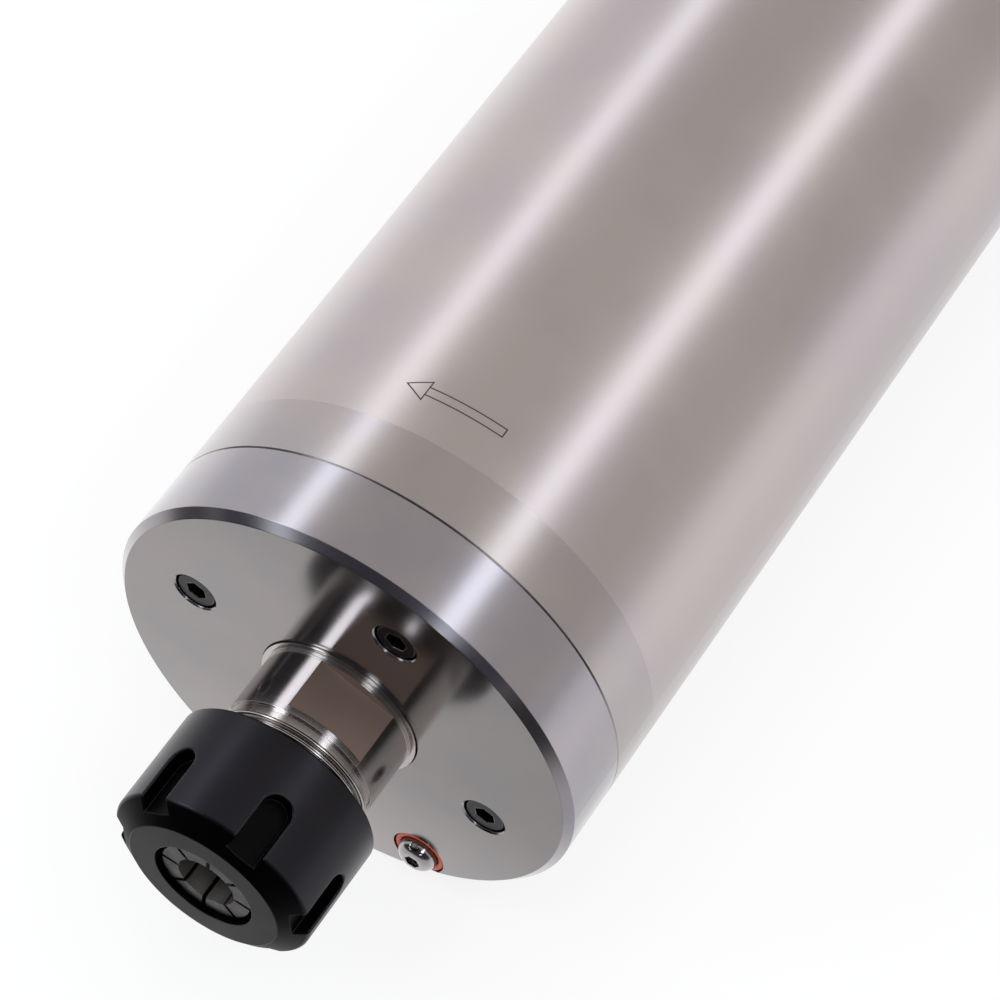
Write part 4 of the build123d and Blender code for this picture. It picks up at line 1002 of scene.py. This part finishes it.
@dataclass
class Room:
    """White surroundings, which metal shows dimmer in front of the nose and on one side.

    Attributes:
        light: Colour of the room, sRGB.
        shade: Colour that metal shows on the side of +X, sRGB.
        dark: Colour that metal shows in front of the nose, sRGB.
        front: Ways along Y between which the front turns to the rest.
        side: Ways along X between which the light side turns to the shaded one.
        side_share: Least share of shade on the light side.
        horizon: Ways along Z between which the plain room below turns to the one above.
        fill: Strength of the room as light.
    """

    light: str = WHITE
    shade: str = "#d7d3cd"
    dark: str = "#444349"
    front: tuple[float, float] = (-0.3, -0.05)
    side: tuple[float, float] = (-0.78, -0.38)
    side_share: float = 0.1
    horizon: tuple[float, float] = (-0.01, 0.03)
    fill: float = 0.45

    def shown(self, tree: bpy.types.NodeTree) -> Feed:
        """Makes the colour that the room shows.

        Args:
            tree: Node tree of the world.

        Returns:
            The colour: plain for the camera, and shaded for metal.
        """
        way = add_node(tree, "TexCoord").outputs["Generated"]
        x, y, z = add_node(tree, "SeparateXYZ", (way,)).outputs
        straight = add_node(tree, "LightPath").outputs["Is Camera Ray"]
        above = add_node(tree, "MapRange", (z, *self.horizon, 0.0, 1.0), **SMOOTH)
        by_way = add_node(tree, "Math", (1.0, straight), operation="SUBTRACT")
        by_way = add_node(tree, "Math", (above, by_way), operation="MULTIPLY")
        aside = add_node(tree, "MapRange", (x, *self.side, self.side_share, 1.0), **SMOOTH)
        aside = add_node(tree, "Math", (aside, by_way), operation="MULTIPLY")
        ahead = add_node(tree, "MapRange", (y, *self.front, 1.0, 0.0), **SMOOTH)
        ahead = add_node(tree, "Math", (ahead, by_way), operation="MULTIPLY")
        walls = {0: aside, MIX_UNDER: linear(self.light), MIX_OVER: linear(self.shade)}
        walls = add_node(tree, "Mix", walls, **COLOURS).outputs[MIX_OUT]
        room = {0: ahead, MIX_UNDER: walls, MIX_OVER: linear(self.dark)}
        return add_node(tree, "Mix", room, **COLOURS).outputs[MIX_OUT]

    def make(self) -> None:
        """Sets the world, which shows one colour and lights with another."""
        world = bpy.data.worlds.new("room")
        world.use_nodes = True
        tree = world.node_tree
        tree.nodes.clear()
        path = add_node(tree, "LightPath").outputs
        seen = add_node(
            tree, "Math", (path["Is Camera Ray"], path["Is Glossy Ray"]), operation="MAXIMUM"
        )
        seen = add_node(tree, "Math", (seen, path["Is Transmission Ray"]), operation="MAXIMUM")
        show = add_node(tree, "Background", (self.shown(tree), 1.0))
        lit = add_node(tree, "Background", (linear(WHITE), self.fill))
        add_node(tree, "OutputWorld", (add_node(tree, "MixShader", (seen, lit, show)),))
        bpy.context.scene.world = world


@dataclass
class Floor:
    """A pale floor that keeps the shadow near the object and turns white further off.

    Attributes:
        half: Half width of the floor.
        sunk: How far it lies under the barrel.
        colour: Its colour, sRGB.
        near: Distances between which the shadow fades.
        near_share: Share of white at the nearer one.
        cards: Place across the floor, and brightness that metal shows there.
        reach: Furthest place across that a card can have.
        top: Brightest that a card can be.
        cover: Places along the axis between which the floor ahead of the cover turns to cards.
        side: Places across between which the floor ahead of the cover is dimmed.
        side_share: Brightness of the dimmed side.
        nose: Places along the axis between which the floor ahead of the nose turns bright.
        nose_share: Brightness ahead of the nose.
    """

    half: float = 6.0
    sunk: float = 1e-5
    colour: str = "#fbfbfb"
    near: tuple[float, float] = (0.3, 0.9)
    near_share: float = 0.8
    cards: tuple[tuple[float, float], ...] = (
        (-0.7, 1.0),
        (-0.1, 1.35),
        (0.04, 1.2),
        (0.07, 0.95),
        (0.17, 1.25),
        (0.45, 1.1),
        (0.6, 0.65),
    )
    reach: float = 0.8
    top: float = 2.0
    cover: tuple[float, float] = (0.02, 0.05)
    side: tuple[float, float] = (-0.06, 0.03)
    side_share: float = 0.76
    nose: tuple[float, float] = (-0.075, 0.01)
    nose_share: float = 0.07

    def shown(self, tree: bpy.types.NodeTree, place: Feed) -> Feed:
        """Makes the brightness of the floor that metal shows.

        Args:
            tree: Node tree of the floor's material.
            place: Object coordinates of the floor.

        Returns:
            The brightness: cards beside the barrel, and a dark floor in front of the nose.
        """
        x, y, _ = add_node(tree, "SeparateXYZ", (place,)).outputs
        share = (x, -self.reach, self.reach, 0.0, 1.0)
        ramp = add_node(tree, "ValToRGB", (add_node(tree, "MapRange", share),))
        stops = ramp.color_ramp.elements
        while len(stops) < len(self.cards):
            stops.new(1.0)
        for stop, (across, bright) in zip(stops, self.cards):
            stop.position = (across + self.reach) / (2 * self.reach)
            stop.color = (*(bright / self.top,) * 3, 1.0)
        beside = add_node(tree, "Math", (ramp, self.top), operation="MULTIPLY")
        facing = add_node(tree, "MapRange", (x, *self.side, 1.0, self.side_share), **SMOOTH)
        ahead = add_node(tree, "MapRange", (y, *self.cover, 1.0, 0.0), **SMOOTH)
        both = add_node(tree, "Mix", {0: ahead, NUMBER_UNDER: beside, NUMBER_OVER: facing})
        dim = add_node(tree, "MapRange", (y, *self.nose, self.nose_share, 1.0), **SMOOTH)
        return add_node(tree, "Math", (both, dim), operation="MULTIPLY")

    def material(self) -> bpy.types.Material:
        """Makes the floor's material.

        Returns:
            Matt and pale as light, and white to the camera and in metal.
        """
        material = bpy.data.materials.new("floor_pale")
        material.use_nodes = True
        tree = material.node_tree
        tree.nodes.clear()
        place = add_node(tree, "TexCoord").outputs["Object"]
        path = add_node(tree, "LightPath").outputs
        far = add_node(tree, "VectorMath", (place,), operation="LENGTH").outputs["Value"]
        white = add_node(tree, "MapRange", (far, *self.near, self.near_share, 1.0), **SMOOTH)
        straight = add_node(tree, "Math", (path["Is Camera Ray"], white), operation="MULTIPLY")
        by_way = add_node(
            tree, "Math", (path["Is Glossy Ray"], path["Is Transmission Ray"]), operation="MAXIMUM"
        )
        fade = add_node(tree, "Math", (straight, by_way), operation="MAXIMUM")
        shown = self.shown(tree, place)
        strength = add_node(tree, "Mix", {0: by_way, NUMBER_UNDER: 1.0, NUMBER_OVER: shown})
        matt = add_node(tree, "BsdfDiffuse", (linear(self.colour),))
        show = add_node(tree, "Emission", (linear(WHITE), strength))
        add_node(tree, "OutputMaterial", (add_node(tree, "MixShader", (fade, matt, show)),))
        return material

    def make(self) -> None:
        """Lays the floor under the barrel."""
        shape = bmesh.new()
        bmesh.ops.create_grid(shape, x_segments=1, y_segments=1, size=self.half)
        under = (0.0, 0.0, -mm(BARREL_R_MM) - self.sunk)
        bmesh.ops.translate(shape, verts=shape.verts, vec=under)
        data = bpy.data.meshes.new("floor")
        shape.to_mesh(data)
        shape.free()
        data.materials.append(self.material())
        floor = bpy.data.objects.new("floor", data)
        bpy.context.scene.collection.objects.link(floor)


@dataclass
class Camera:
    """The camera, which looks down on the nose from the right.

    Attributes:
        place: Where it stands.
        azimuth: Degrees from -Y towards +X at which it stands.
        elevation: Degrees by which it looks down.
        lens_mm: Focal length.
        sensor_mm: Width of its sensor.
        near: Nearest distance that it sees.
        far: Furthest distance that it sees.
    """

    place: tuple[float, float, float] = (0.217760, -0.252351, 0.588756)
    azimuth: float = 31.657
    elevation: float = 54.945
    lens_mm: float = 134.24
    sensor_mm: float = 36.0
    near: float = 0.01
    far: float = 50.0

    def make(self) -> None:
        """Places the camera."""
        data = bpy.data.cameras.new("camera")
        data.lens = self.lens_mm
        data.sensor_width = self.sensor_mm
        data.clip_start, data.clip_end = self.near, self.far
        camera = bpy.data.objects.new("camera", data)
        bpy.context.scene.collection.objects.link(camera)
        side, rise = math.radians(self.azimuth), math.radians(self.elevation)
        level = math.cos(rise)
        back = Vector((math.sin(side) * level, -math.cos(side) * level, math.sin(rise)))
        camera.location = self.place
        camera.rotation_mode = "QUATERNION"
        camera.rotation_quaternion = (-back).to_track_quat("-Z", "Y")
        bpy.context.scene.camera = camera


@dataclass
class Studio:
    """Everything round the object.

    Attributes:
        room: Surroundings.
        floor: Floor.
        lamps: Lamps.
        camera: Camera.
    """

    room: Room = field(default_factory=Room)
    floor: Floor = field(default_factory=Floor)
    lamps: Lamps = field(default_factory=Lamps)
    camera: Camera = field(default_factory=Camera)

    def make(self) -> None:
        """Makes everything round the object, and shows colours as they are."""
        for part in (self.room, self.floor, self.lamps, self.camera):
            part.make()
        bpy.context.scene.view_settings.view_transform = "Standard"


@dataclass
class Spindle:
    """The finished spindle: the frame's nodes and the pieces made here.

    Attributes:
        shop: Where the finishes come from.
        pieces: Pieces made here.
    """

    shop: FinishShop = field(default_factory=FinishShop)
    pieces: tuple[Piece, ...] = field(default_factory=lambda: (NoseThread(), NoseRings()))

    def make(self) -> None:
        """Finishes the frame's nodes and makes the pieces."""
        self.shop.finish_frame()
        for piece in self.pieces:
            piece.make(self.shop)


def main() -> None:
    """Builds the scene."""
    logging.basicConfig(level=logging.INFO, format="%(name)s: %(message)s")
    Studio().make()
    Spindle().make()


if __name__ == "__main__":
    main()
